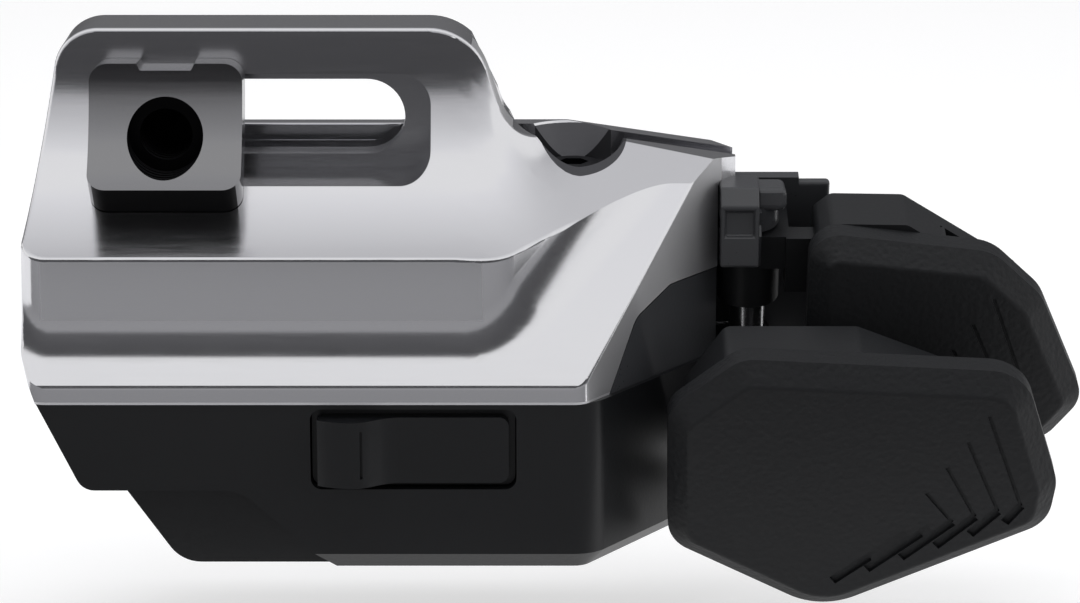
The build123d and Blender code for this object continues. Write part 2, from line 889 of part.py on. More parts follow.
# Battery drawer: front panel with a raised finger lip, plug and bed
with BuildPart() as battery_tray:
    with BuildSketch(Plane.XZ.offset(-plug_front_y)):
        with Locations((tray_x, tray_z)):
            RectangleRounded(tray_w, tray_h, tray_corner_r - tray_clear)
    extrude(amount=-plug_depth)
    with BuildSketch(Plane.XZ.offset(-plug_front_y - seal_inset)):
        with Locations((tray_x, tray_z)):
            RectangleRounded(tray_w, tray_h, tray_corner_r - tray_clear)
            RectangleRounded(tray_w - 2 * seal_depth, tray_h - 2 * seal_depth, seal_depth, mode=Mode.SUBTRACT)
    extrude(amount=-seal_w, mode=Mode.SUBTRACT)
    with BuildSketch(Plane.XZ.offset(-plug_front_y)):
        with Locations((tray_x, tray_z)):
            RectangleRounded(panel_w, panel_h, tray_corner_r - tray_clear)
    extrude(amount=panel_thick)
    with BuildSketch(Plane.XY.offset(tray_z - panel_h / 2)):
        with BuildLine():
            Line((panel_left_x, panel_y + panel_thick / 2), (panel_left_x, panel_y - lip_height * 0.5))
            Spline(
                (panel_left_x, panel_y - lip_height * 0.5),
                (panel_left_x + lip_l * 0.2, panel_y - lip_height * 0.9),
                (panel_left_x + lip_l * 0.53, panel_y - lip_height),
                (panel_left_x + lip_l * 0.78, panel_y - lip_height * 0.35),
                (panel_left_x + lip_l, panel_y),
            )
            Line((panel_left_x + lip_l, panel_y), (panel_left_x + lip_l, panel_y + panel_thick / 2))
            Line(
                (panel_left_x + lip_l, panel_y + panel_thick / 2),
                (panel_left_x, panel_y + panel_thick / 2),
            )
        make_face()
    extrude(amount=panel_h)
    with BuildSketch(Plane.XZ.offset(-panel_y + lip_height)):
        with Locations((panel_left_x + lip_l * 0.53, tray_z)):
            Rectangle(lip_groove_w, panel_h * 0.72)
    extrude(amount=-lip_groove_depth, mode=Mode.SUBTRACT)
    with BuildSketch(Plane.XZ.offset(-plug_front_y - plug_depth)):
        with Locations((tray_x, tray_z)):
            RectangleRounded(tray_w, tray_h, tray_corner_r - tray_clear)
        with Locations((tray_x, tray_z - tray_h / 2 + bed_h / 2)):
            Rectangle(tray_w, bed_h, mode=Mode.INTERSECT)
    extrude(amount=plug_front_y + plug_depth - tray_back_y)
    with BuildSketch(Plane.XY.offset(cell_z)):
        with Locations((tray_x, cell_y)):
            Circle(cell_r + cell_clear)
    extrude(amount=tray_h, mode=Mode.SUBTRACT)
save(battery_tray, "battery_tray")

with BuildPart() as coin_cell:
    with BuildSketch(Plane.XY.offset(cell_z)):
        with Locations((tray_x, cell_y)):
            Circle(cell_r - cell_edge)
    extrude(amount=cell_h)
    with BuildSketch(Plane.XY.offset(cell_z)):
        with Locations((tray_x, cell_y)):
            Circle(cell_r)
    extrude(amount=cell_h - cell_edge)
save(coin_cell, "coin_cell")

with BuildPart() as tray_seal:
    with BuildSketch(Plane.XZ.offset(-plug_front_y - seal_inset)):
        with Locations((tray_x, tray_z)):
            RectangleRounded(tray_w + fit, tray_h + fit, tray_corner_r - tray_clear)
            RectangleRounded(tray_w - 2 * seal_depth, tray_h - 2 * seal_depth, seal_depth, mode=Mode.SUBTRACT)
    extrude(amount=-seal_w)
save(tray_seal, "tray_seal")

with BuildPart() as battery_contact_positive:
    with BuildSketch(Plane.XZ.offset(-tray_back_y - tray_end_gap)):
        with Locations((tray_x, cell_z + cell_h / 2)):
            Rectangle(contact_l, contact_w)
    extrude(amount=contact_thick)
save(battery_contact_positive, "battery_contact_positive")

with BuildPart() as battery_contact_negative:
    with BuildSketch(Plane.YZ.offset(tray_x - contact_w / 2)):
        with BuildLine():
            Polyline(
                (leaf_y, tray_top_z),
                (leaf_y - contact_thick, tray_top_z),
                (leaf_y - 8 * contact_thick, leaf_z + contact_thick),
                (leaf_y - leaf_l, leaf_z + contact_thick),
                (leaf_y - leaf_l, leaf_z),
                (leaf_y - 7 * contact_thick, leaf_z),
                close=True,
            )
        make_face()
    extrude(amount=contact_w)
save(battery_contact_negative, "battery_contact_negative")


# Lever bracket: block in the bay, panel in the wall's notch, ear, lugs, shroud and back web
with BuildPart() as lever_bracket:
    add(bay_space(fit))
    with BuildSketch(Plane.XY.offset(bay_floor_z)):
        with Locations(((bay_left_x + block_right_x) / 2, (block_back_y - far) / 2)):
            Rectangle(block_right_x - bay_left_x, block_back_y + far)
    extrude(amount=far, mode=Mode.INTERSECT)
    with BuildSketch(side_wall_plane):
        add(notch_outline(fit))
    extrude(amount=-cover_wall - 2 * fit)
    with BuildSketch(Plane.XZ.offset(-back_y)):
        with Locations((ear_x, ear_z)):
            Rectangle(ear_w, ear_h)
    extrude(amount=ear_thick - fit)
    with BuildSketch(lever_plane(upper_hub_top + lug_gap)):
        Circle(boss_r)
        Polygon(
            (lug_left, -room_r),
            (shroud_right, -room_r),
            (shroud_right, room_r + web_gap + web_plate),
            (block_root, room_r + web_gap + web_plate),
            (block_root, boss_r / 2),
            (lug_left, boss_r / 2),
            align=None,
        )
    extrude(amount=lug_thick)
    with BuildSketch(bracket_plane(lug_left)):
        Polygon(
            (-room_r - shroud_wall, shroud_low),
            (-room_r - shroud_wall, shroud_bend),
            (shroud_crest, shroud_top),
            (room_r, shroud_top),
            (room_r, upper_hub_top + lug_gap),
            (-room_r, upper_hub_top + lug_gap),
            (-room_r, shroud_low),
            align=None,
        )
    extrude(amount=shroud_right - lug_left)
    with BuildSketch(lever_plane(lower_hub_low - lug_gap)):
        with Locations(((hub_r + block_root) / 2, (room_r + web_gap + web_plate - hub_r) / 2)):
            Rectangle(hub_r - block_root, hub_r + room_r + web_gap + web_plate)
    extrude(amount=-lug_thick)
    with BuildSketch(lever_plane(axle_low)):
        with Locations(((block_root + web_right) / 2, room_r + web_gap + web_plate / 2)):
            Rectangle(web_right - block_root, web_plate)
    extrude(amount=lug_top - axle_low)

    # Pocket in the shroud's slanted front
    shroud_run = shroud_crest + room_r + shroud_wall
    shroud_rise = shroud_top - shroud_bend
    shroud_middle = (shroud_crest - room_r - shroud_wall) / 2
    slant_plane = Plane(
        origin=bracket_plane((lug_left + shroud_right) / 2).from_local_coords(
            (shroud_middle, (shroud_bend + shroud_top) / 2, 0)
        ),
        x_dir=(1, 0, 0),
        z_dir=axle_plane.z_dir * shroud_run - axle_plane.y_dir * shroud_rise,
    )
    with BuildSketch(slant_plane):
        RectangleRounded(shroud_pocket, shroud_pocket, screw_r / 2)
    extrude(amount=-shroud_pocket_depth, mode=Mode.SUBTRACT)

    # Room for hubs and arms, then the ways of both tails, plungers and switches
    with BuildSketch(lever_plane(lower_hub_low - lug_gap)):
        Circle(room_r)
    extrude(amount=upper_hub_top - lower_hub_low + 2 * lug_gap, mode=Mode.SUBTRACT)
    for low, top in lever_levels:
        with BuildSketch(lever_plane(low - lug_gap)):
            add(tail_way())
        extrude(amount=top - low + 2 * lug_gap, mode=Mode.SUBTRACT)
        with BuildSketch(paddle_plane(-tail_half_w)):
            with Locations((-plunger_arm, (low + top) / 2)):
                Circle(plunger_r + screw_fit)
        extrude(amount=plunger_l + plunger_gap + 2 * fit, mode=Mode.SUBTRACT)
        with BuildSketch(paddle_plane(switch_y)):
            with Locations((-plunger_arm, (low + top) / 2)):
                Rectangle(switch_w, switch_w)
        extrude(amount=switch_h, mode=Mode.SUBTRACT)
    with BuildSketch(lever_plane(axle_low)):
        Circle(axle_r)
    extrude(amount=far, mode=Mode.SUBTRACT)
    with BuildSketch(lever_plane(lug_top - axle_head_h)):
        Circle(axle_head_r + fit)
    extrude(amount=far, mode=Mode.SUBTRACT)
    with BuildSketch(Plane.XZ.offset(-back_y)):
        with Locations(*ear_screw_places):
            Circle(screw_r + screw_fit)
    extrude(amount=ear_thick, mode=Mode.SUBTRACT)
save(lever_bracket, "lever_bracket")

with BuildPart() as bracket_screws:
    with BuildSketch(Plane.XZ.offset(-back_y)):
        with Locations(*ear_screw_places):
            Circle(screw_head_r)
    extrude(amount=-screw_head_h)
    with BuildSketch(Plane.XZ.offset(-back_y - screw_head_h)):
        with Locations(*ear_screw_places):
            RegularPolygon(screw_socket_r, 6)
    extrude(amount=screw_head_h / 2, mode=Mode.SUBTRACT)
    with BuildSketch(Plane.XZ.offset(-back_y)):
        with Locations(*ear_screw_places):
            Circle(screw_r)
    extrude(amount=ear_screw_l)
save(bracket_screws, "bracket_screws")


# Axle with its head, clip and the collar between the hubs
with BuildPart() as pivot_axle:
    with BuildSketch(lever_plane(axle_low - axle_tip)):
        Circle(axle_r)
    extrude(amount=lug_top - axle_low + axle_tip)
    with BuildSketch(lever_plane(lug_top - axle_head_h)):
        Circle(axle_head_r)
    extrude(amount=axle_head_h)
    with BuildSketch(lever_plane(axle_low - axle_tip / 2)):
        Circle(axle_r)
        Circle(axle_r - axle_groove, mode=Mode.SUBTRACT)
    extrude(amount=clip_thick + fit, mode=Mode.SUBTRACT)
save(pivot_axle, "pivot_axle")

with BuildPart() as axle_clip:
    with BuildSketch(lever_plane(axle_low - axle_tip / 2 + fit / 2)):
        Circle(axle_r + clip_rim)
        Circle(axle_r - axle_groove, mode=Mode.SUBTRACT)
        with Locations((0, -axle_r)):
            Rectangle(axle_r, 2 * axle_r, mode=Mode.SUBTRACT)
    extrude(amount=clip_thick)
save(axle_clip, "axle_clip")

with BuildPart() as hub_spacer:
    with BuildSketch(lever_plane(lower_hub_top + run_clear)):
        Circle(axle_r + bush_wall)
        Circle(axle_r, mode=Mode.SUBTRACT)
    extrude(amount=upper_hub_low - lower_hub_top - 2 * run_clear)
save(hub_spacer, "hub_spacer")


# Lever arms with their hubs, tails and tongues, and the bushes in the hubs
def hub_and_tail(low, top):
    """Hub and tail of one lever between two heights along the axle."""
    with BuildSketch(lever_plane(low)) as plan:
        Circle(hub_r)
        with Locations((-tail_l / 2, 0)):
            Rectangle(tail_l, 2 * tail_half_w)
    extrude(plan.sketch, amount=top - low)


def hub_bore(low, top):
    """Bore that the bush is pressed into."""
    with BuildSketch(lever_plane(low)) as bore:
        Circle(bush_r)
    extrude(bore.sketch, amount=top - low, mode=Mode.SUBTRACT)


def save_bush(low, top, name):
    """Make one plain bush and write it."""
    with BuildPart() as bush:
        with BuildSketch(lever_plane(low)):
            Circle(bush_r)
            Circle(axle_r + run_clear, mode=Mode.SUBTRACT)
        extrude(amount=top - low)
    save(bush, name)


with BuildPart() as upper_lever_arm:
    hub_and_tail(upper_hub_low, upper_hub_top)
    with BuildSketch(lever_plane(upper_hub_low)):
        with Locations((upper_plate_l / 2, 0)):
            Rectangle(upper_plate_l, 2 * hub_r)
    extrude(amount=upper_hub_top - upper_hub_low)
    hub_bore(upper_hub_low, upper_hub_top)
    with BuildSketch(lever_plane(skirt_low)):
        Circle(hub_r)
        Circle(hub_r - skirt_wall, mode=Mode.SUBTRACT)
        with Locations((0, hub_r)):
            Rectangle(4 * hub_r, 2 * hub_r, mode=Mode.SUBTRACT)
    extrude(amount=upper_hub_low - skirt_low)
    with BuildSketch(paddle_plane(upper_tongue_back)):
        with Locations(((upper_plate_l - tongue_root + upper_tongue_end) / 2, upper_tongue_z)):
            Rectangle(upper_tongue_end - upper_plate_l + tongue_root, tongue_h)
        with Locations((upper_screw_x, upper_tongue_z)):
            SlotOverall(2 * (adjust + screw_r + fit), 2 * (screw_r + fit), mode=Mode.SUBTRACT)
    extrude(amount=tongue_thick)
save(upper_lever_arm, "upper_lever_arm")
save_bush(upper_hub_low, upper_hub_top, "upper_bush")

with BuildPart() as lower_lever_arm:
    hub_and_tail(lower_hub_low, lower_hub_top)
    with BuildSketch(lever_plane(lower_hub_low)):
        with Locations((neck_x, (lower_tongue_back - tongue_root) / 2)):
            Rectangle(neck_w, -lower_tongue_back + tongue_root)
    extrude(amount=lower_hub_top - lower_hub_low)
    hub_bore(lower_hub_low, lower_hub_top)
    with BuildSketch(paddle_plane(lower_tongue_back)):
        with Locations(((lower_tongue_start + lower_tongue_end) / 2, lower_tongue_z)):
            Rectangle(lower_tongue_end - lower_tongue_start, tongue_h)
        with Locations((lower_screw_x, lower_tongue_z)):
            SlotOverall(2 * (adjust + screw_r + fit), 2 * (screw_r + fit), mode=Mode.SUBTRACT)
    extrude(amount=tongue_thick)
save(lower_lever_arm, "lower_lever_arm")
save_bush(lower_hub_low, lower_hub_top, "lower_bush")


# Return springs round the collar, switches and plungers
def save_spring(low, hub_face, name):
    """Make one coil with a leg on the bracket and a leg on the hub."""
    leg_end = block_right + screw_fit
    with BuildPart() as spring:
        with BuildSketch(lever_plane(low)):
            Circle(spring_r + wire_r)
            Circle(spring_r - wire_r, mode=Mode.SUBTRACT)
        extrude(amount=spring_h)
        with BuildSketch(lever_plane(low + spring_h / 2 - wire_r)):
            with Locations((leg_end / 2, spring_r)):
                Rectangle(-leg_end, 2 * wire_r)
        extrude(amount=2 * wire_r)
        with BuildSketch(lever_plane(low + spring_h / 2)):
            with Locations((spring_r, 0)):
                Circle(wire_r)
        extrude(amount=hub_face - low - spring_h / 2)
    save(spring, name)


save_spring(upper_hub_low - spring_gap - spring_h, upper_hub_low - screw_fit, "upper_return_spring")
save_spring(lower_hub_top + spring_gap, lower_hub_top + screw_fit, "lower_return_spring")


def save_switch(low, top, level):
    """Make one switch and the plunger that a lever's tail pushes into it."""
    middle = (low + top) / 2
    with BuildPart() as switch:
        with BuildSketch(paddle_plane(switch_y - button_h)):
            with Locations((-plunger_arm, middle)):
                Rectangle(switch_w, switch_w)
        extrude(amount=switch_h - button_h)
        with BuildSketch(paddle_plane(switch_y)):
            with Locations((-plunger_arm, middle)):
                Circle(button_r)
        extrude(amount=button_h)
    save(switch, f"{level}_switch")
    with BuildPart() as plunger:
        with BuildSketch(paddle_plane(-tail_half_w - run_clear)):
            with Locations((-plunger_arm, middle)):
                Circle(plunger_r)
        extrude(amount=plunger_l)
        fillet(plunger.edges().filter_by(GeomType.CIRCLE).sort_by(Axis.Y)[-1], plunger_edge_r)
    save(plunger, f"{level}_plunger")


save_switch(upper_hub_low, upper_hub_top, "upper")
save_switch(lower_hub_low, lower_hub_top, "lower")


# Thumb paddles: a stiff core on the arm's tongue and a bevelled, ribbed pad
def between(ends, share):
    """Point at a share of the way from one end to the other."""
    return tuple(a + share * (b - a) for a, b in zip(*ends))


def chevrons(shift):
    """Slots of the chevron ribs and the thin lines that rise from them."""
    slots = []
    lines = []
    for count in range(rib_count):
        share = count / (rib_count - 1)
        low = between(rib_low_ends, share)
        bend = between(rib_bends, share)
        slots.append([(low[0] + shift[0], low[1] + shift[1]), (bend[0] + shift[0], bend[1] + shift[1])])
        if count >= rib_count - rib_tops:
            top = between(rib_top_ends, (count - rib_count + rib_tops) / (rib_tops - 1))
            lines.append([(bend[0] + shift[0], bend[1] + shift[1]), (top[0] + shift[0], top[1] + shift[1])])
    return slots, lines


def paddle_shape(corners, radii):
    """Closed outline with its own radius at each corner."""
    with BuildSketch() as shape:
        with BuildLine():
            FilletPolyline(*corners, radius=radii, close=True)
        make_face()
    return shape.sketch


def line_grooves(lines, width):
    """Grooves of one width along straight lines."""
    with BuildSketch() as grooves:
        for start, end in lines:
            with BuildLine():
                Line(start, end)
            trace(line_width=width)
    return grooves.sketch


def save_pad(corners, radii, back, shift, name):
    """Make one pad with its bevelled rim and chevron ribs."""
    slots, lines = chevrons(shift)
    with BuildPart() as pad:
        with BuildSketch(paddle_plane(back)):
            add(paddle_shape(corners, radii))
        extrude(amount=pad_thick)
        front = pad.faces().sort_by(Axis(axle_plane.origin, -axle_plane.y_dir))[-1]
        chamfer(front.edges(), pad_bevel)
        front = pad.faces().sort_by(Axis(axle_plane.origin, -axle_plane.y_dir))[-1]
        fillet(front.edges(), pad_edge_r)
        with BuildSketch(paddle_plane(back - pad_thick)):
            add(line_grooves(slots, rib_w))
        extrude(amount=-rib_depth, mode=Mode.SUBTRACT)
        with BuildSketch(paddle_plane(back - pad_thick)):
            add(line_grooves(lines, rib_line_w))
        extrude(amount=-rib_line_depth, mode=Mode.SUBTRACT)
    save(pad, name)


save_pad(lower_pad_corners, lower_pad_radii, lower_pad_back, (0, 0), "lower_paddle_pad")
save_pad(upper_pad_corners, upper_pad_radii, upper_pad_back, upper_rib_shift, "upper_paddle_pad")


def save_core(corners, front, back, tongue_back, tongue_end, tongue_z, screw_x, name, neck=False):
    """Make one core with the way for its arm's tongue and its clamping screw."""
    with BuildPart() as core:
        with BuildSketch(paddle_plane(back)):
            add(paddle_shape(corners, core_corner_r))
        extrude(amount=back - front)
        with BuildSketch(paddle_plane(tongue_back + fit)):
            with Locations(((tongue_end + adjust + fit - far) / 2, tongue_z)):
                Rectangle(tongue_end + adjust + fit + far, tongue_h + 2 * fit)
        extrude(amount=tongue_thick + 2 * fit, mode=Mode.SUBTRACT)
        if neck:
            neck_right = neck_x + neck_w / 2 + adjust + fit
            with BuildSketch(paddle_plane(back)):
                with Locations(((neck_right - far) / 2, tongue_z)):
                    Rectangle(neck_right + far, tongue_h + 2 * fit)
            extrude(amount=back - tongue_back, mode=Mode.SUBTRACT)
        with BuildSketch(paddle_plane(back)):
            with Locations((screw_x, tongue_z)):
                Circle(screw_head_r + screw_fit)
        extrude(amount=head_sink, mode=Mode.SUBTRACT)
        with BuildSketch(paddle_plane(back)):
            with Locations((screw_x, tongue_z)):
                Circle(screw_r + screw_fit)
        extrude(amount=clamp_screw_l + screw_fit, mode=Mode.SUBTRACT)
    save(core, f"{name}_core")
    with BuildPart() as screw:
        with BuildSketch(paddle_plane(back)):
            with Locations((screw_x, tongue_z)):
                Circle(screw_head_r)
        extrude(amount=head_sink)
        with BuildSketch(paddle_plane(back)):
            with Locations((screw_x, tongue_z)):
                Circle(screw_r)
        extrude(amount=clamp_screw_l)
    save(screw, f"{name}_screw")


save_core(
    lower_core_corners, lower_pad_back, lower_core_back, lower_tongue_back,
    lower_tongue_end, lower_tongue_z, lower_screw_x, "lower_paddle", neck=True,
)
save_core(
    upper_core_corners, upper_pad_back, upper_core_back, upper_tongue_back,
    upper_tongue_end, upper_tongue_z, upper_screw_x, "upper_paddle",
)


# Fixing nut: curved tile, key in the recess and stem through the slot
with BuildPart() as fixing_nut:
    nut_middle_angle = (nut_top_angle + nut_low_angle) / 2
    with BuildSketch(Plane.YZ.offset(-nut_half_w)):
        with BuildLine():
            front_arc = ThreePointArc(
                saddle_point(nut_top_angle, nut_face_r),
                saddle_point(nut_middle_angle, nut_face_r),
                saddle_point(nut_low_angle, nut_face_r),
            )
            back_arc = ThreePointArc(
                saddle_point(nut_low_angle, saddle_r - slide_clear),
                saddle_point(nut_middle_angle, saddle_r - slide_clear),
                saddle_point(nut_top_angle, saddle_r - slide_clear),
            )
            Line(front_arc @ 1, back_arc @ 0)
            Line(back_arc @ 1, front_arc @ 0)
        make_face()
    extrude(amount=2 * nut_half_w)
    corners = fixing_nut.edges().filter_by(
        lambda e: e.length < nut_thick + 0.5 and abs(abs(e.center().X) - nut_half_w) < 0.01
    )
    fillet(corners, nut_corner_r)
    nut_top = saddle_point(nut_top_angle, nut_face_r)
    with BuildSketch(Plane.XZ.offset(-saddle_y - saddle_r)):
        with Locations((0, nut_top[1])):
            Trapezoid(nut_notch_w, 2 * nut_notch_depth, 120)
    extrude(amount=far, mode=Mode.SUBTRACT)
    with BuildSketch(Plane.XZ.offset(-web_front_y + slide_clear)):
        RectangleRounded(2 * key_half_l, 2 * key_half_h, recess_corner_r - slide_clear)
    extrude(until=Until.NEXT)
    with BuildSketch(Plane.XZ.offset(-web_front_y + slide_clear)):
        Circle(stem_r)
    extrude(amount=slide_clear + web_front_y - stem_end_y)
    with BuildSketch(Plane.XZ.offset(-clip_y)):
        Circle(stem_r)
        Circle(stem_r - clip_groove, mode=Mode.SUBTRACT)
    extrude(amount=-clip_thick, mode=Mode.SUBTRACT)
    with BuildSketch(Plane.XZ.offset(0)):
        Circle(thread_r)
    extrude(amount=-thread_depth, mode=Mode.SUBTRACT)
    with BuildSketch(Plane.XZ.offset(0)):
        Circle(sink_r)
    extrude(amount=far, mode=Mode.SUBTRACT)
save(fixing_nut, "fixing_nut")

with BuildPart() as nut_retainer:
    with BuildSketch(Plane.XZ.offset(-web_back_y - slide_clear)):
        Circle(retainer_r)
        Circle(stem_r + screw_fit, mode=Mode.SUBTRACT)
    extrude(amount=-retainer_thick)
save(nut_retainer, "nut_retainer")

with BuildPart() as retainer_clip:
    with BuildSketch(Plane.XZ.offset(-clip_y)):
        Circle(stem_r + clip_rim)
        Circle(stem_r - clip_groove + screw_fit, mode=Mode.SUBTRACT)
        with Locations((0, stem_r)):
            Rectangle(clip_mouth, 2 * stem_r, mode=Mode.SUBTRACT)
    extrude(amount=-clip_thick)
save(retainer_clip, "retainer_clip")
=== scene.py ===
"""Looks of a right-hand electronic gear shifter: polished cover, resin housing and grained thumb paddles."""
import logging
import math
from dataclasses import dataclass, field
from enum import Enum

import bmesh
import bpy
from mathutils import Matrix, Vector


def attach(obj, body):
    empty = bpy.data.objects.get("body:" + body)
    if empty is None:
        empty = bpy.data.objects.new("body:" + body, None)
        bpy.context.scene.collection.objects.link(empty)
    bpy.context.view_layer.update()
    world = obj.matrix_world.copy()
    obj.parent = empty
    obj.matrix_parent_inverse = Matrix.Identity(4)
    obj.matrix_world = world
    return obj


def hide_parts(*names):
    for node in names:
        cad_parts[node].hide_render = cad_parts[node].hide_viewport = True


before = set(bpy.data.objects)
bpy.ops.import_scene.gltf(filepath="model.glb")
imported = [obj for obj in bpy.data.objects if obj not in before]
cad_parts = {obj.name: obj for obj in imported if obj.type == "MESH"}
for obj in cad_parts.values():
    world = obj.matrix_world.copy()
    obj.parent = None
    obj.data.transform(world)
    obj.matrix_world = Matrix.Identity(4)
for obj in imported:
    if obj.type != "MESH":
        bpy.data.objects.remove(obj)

LOG = logging.getLogger("shifter")
MM = 0.001
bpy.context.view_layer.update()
WHITE = "ffffff"
BLACK = "000000"
EDGE_STEPS = 4


class Surface(Enum):
    """How a moulded face was textured in its tool."""

    SPARK_ERODED = "spark eroded"
    STIPPLED = "stippled"


class Grain(Enum):
    """Which way polishing or turning marks run, as scales along X, Y and Z."""

    ALL_ROUND = (1.0, 1.0, 1.0)
    ALONG_X = (0.06, 1.0, 1.0)
    ALONG_Y = (1.0, 0.06, 1.0)


def linear(code: str) -> tuple[float, float, float, float]:
    """Turn an sRGB hex colour into linear values.

    Args:
        code: Six hex digits, such as "8c8c8e".

    Returns:
        Red, green, blue and an alpha of one.
    """
    parts = [int(code[i:i + 2], 16) / 255 for i in (0, 2, 4)]
    return (*[p / 12.92 if p <= 0.04045 else ((p + 0.055) / 1.055) ** 2.4 for p in parts], 1.0)


def add_node(tree: bpy.types.NodeTree, kind: str, settings: dict | None = None,
             inputs: dict | None = None) -> bpy.types.Node:
    """Add one shader node with its settings, values and links.

    Args:
        tree: The material's node tree.
        kind: Node type, without the leading "ShaderNode".
        settings: Attributes of the node.
        inputs: Socket name or number to a value, or to a socket that feeds it.

    Returns:
        The new node.
    """
    node = tree.nodes.new(f"ShaderNode{kind}")
    for name, value in (settings or {}).items():
        setattr(node, name, value)
    for name, value in (inputs or {}).items():
        if isinstance(value, bpy.types.NodeSocket):
            tree.links.new(value, node.inputs[name])
        else:
            node.inputs[name].default_value = value
    return node


def reckon(tree: bpy.types.NodeTree, operation: str, first: object,
           second: object = 0.0) -> bpy.types.NodeSocket:
    """Work out one sum between two sockets or numbers.

    Args:
        tree: The material's node tree.
        operation: Name of the sum, such as "MULTIPLY".
        first: Its first number or socket.
        second: Its second number or socket.

    Returns:
        The socket that carries the result.
    """
    return add_node(tree, "Math", {"operation": operation}, {0: first, 1: second}).outputs[0]


def new_material(name: str) -> tuple[bpy.types.Material, bpy.types.NodeTree, bpy.types.Node]:
    """Start a material that holds only an output and a principled shader.

    Args:
        name: Name of the material.

    Returns:
        The material, its tree and its principled node.
    """
    material = bpy.data.materials.new(name)
    material.use_nodes = True
    tree = material.node_tree
    tree.nodes.clear()
    shader = add_node(tree, "BsdfPrincipled")
    add_node(tree, "OutputMaterial", inputs={"Surface": shader.outputs[0]})
    return material, tree, shader


def seen_rays(tree: bpy.types.NodeTree) -> bpy.types.NodeSocket:
    """Tell the rays that show a surface from those that only carry light.

    Args:
        tree: The node tree of a material or the world.

    Returns:
        One for rays from the camera, metal or glass, and zero for the others.
    """
    rays = add_node(tree, "LightPath")
    mirrored = reckon(tree, "MAXIMUM", rays.outputs["Is Glossy Ray"], rays.outputs["Is Transmission Ray"])
    return reckon(tree, "MAXIMUM", rays.outputs["Is Camera Ray"], mirrored)


def per_mm(size: float) -> float:
    """Noise scale whose cells are about a size in millimetres."""
    return 1 / (size * MM)


def grain_along(tree: bpy.types.NodeTree, grain: Grain, size: float) -> bpy.types.NodeSocket:
    """Fine noise drawn out along a direction.

    Args:
        tree: The material's node tree.
        grain: The direction of the marks.
        size: Width of the marks in millimetres.

    Returns:
        The noise, from 0 to 1.
    """
    where = add_node(tree, "Mapping", inputs={"Vector": add_node(tree, "TexCoord").outputs["Object"],
                                              "Scale": grain.value})
    return add_node(tree, "TexNoise", inputs={"Vector": where.outputs[0], "Scale": per_mm(size),
                                              "Detail": 3.0}).outputs[0]


def between(tree: bpy.types.NodeTree, amount: bpy.types.NodeSocket, low: float,
            high: float) -> bpy.types.NodeSocket:
    """Stretch a value from 0 to 1 over a range."""
    return add_node(tree, "MapRange", inputs={"Value": amount, "To Min": low, "To Max": high}).outputs[0]


def lay_over(tree: bpy.types.NodeTree, under: tuple, over: tuple, mask: bpy.types.NodeSocket) -> tuple:
    """Lay one colour and roughness over another where a mask is 1.

    Args:
        tree: The material's node tree.
        under: Colour and roughness below, as sockets or values.
        over: Colour and roughness on top.
        mask: The mask.

    Returns:
        Sockets of the mixed colour and roughness.
    """
    colour = add_node(tree, "Mix", {"data_type": "RGBA"}, {"Factor": mask, "A": under[0], "B": over[0]})
    rough = add_node(tree, "Mix", {"data_type": "FLOAT"}, {"Factor": mask, "A": under[1], "B": over[1]})
    return colour.outputs["Result"], rough.outputs["Result"]


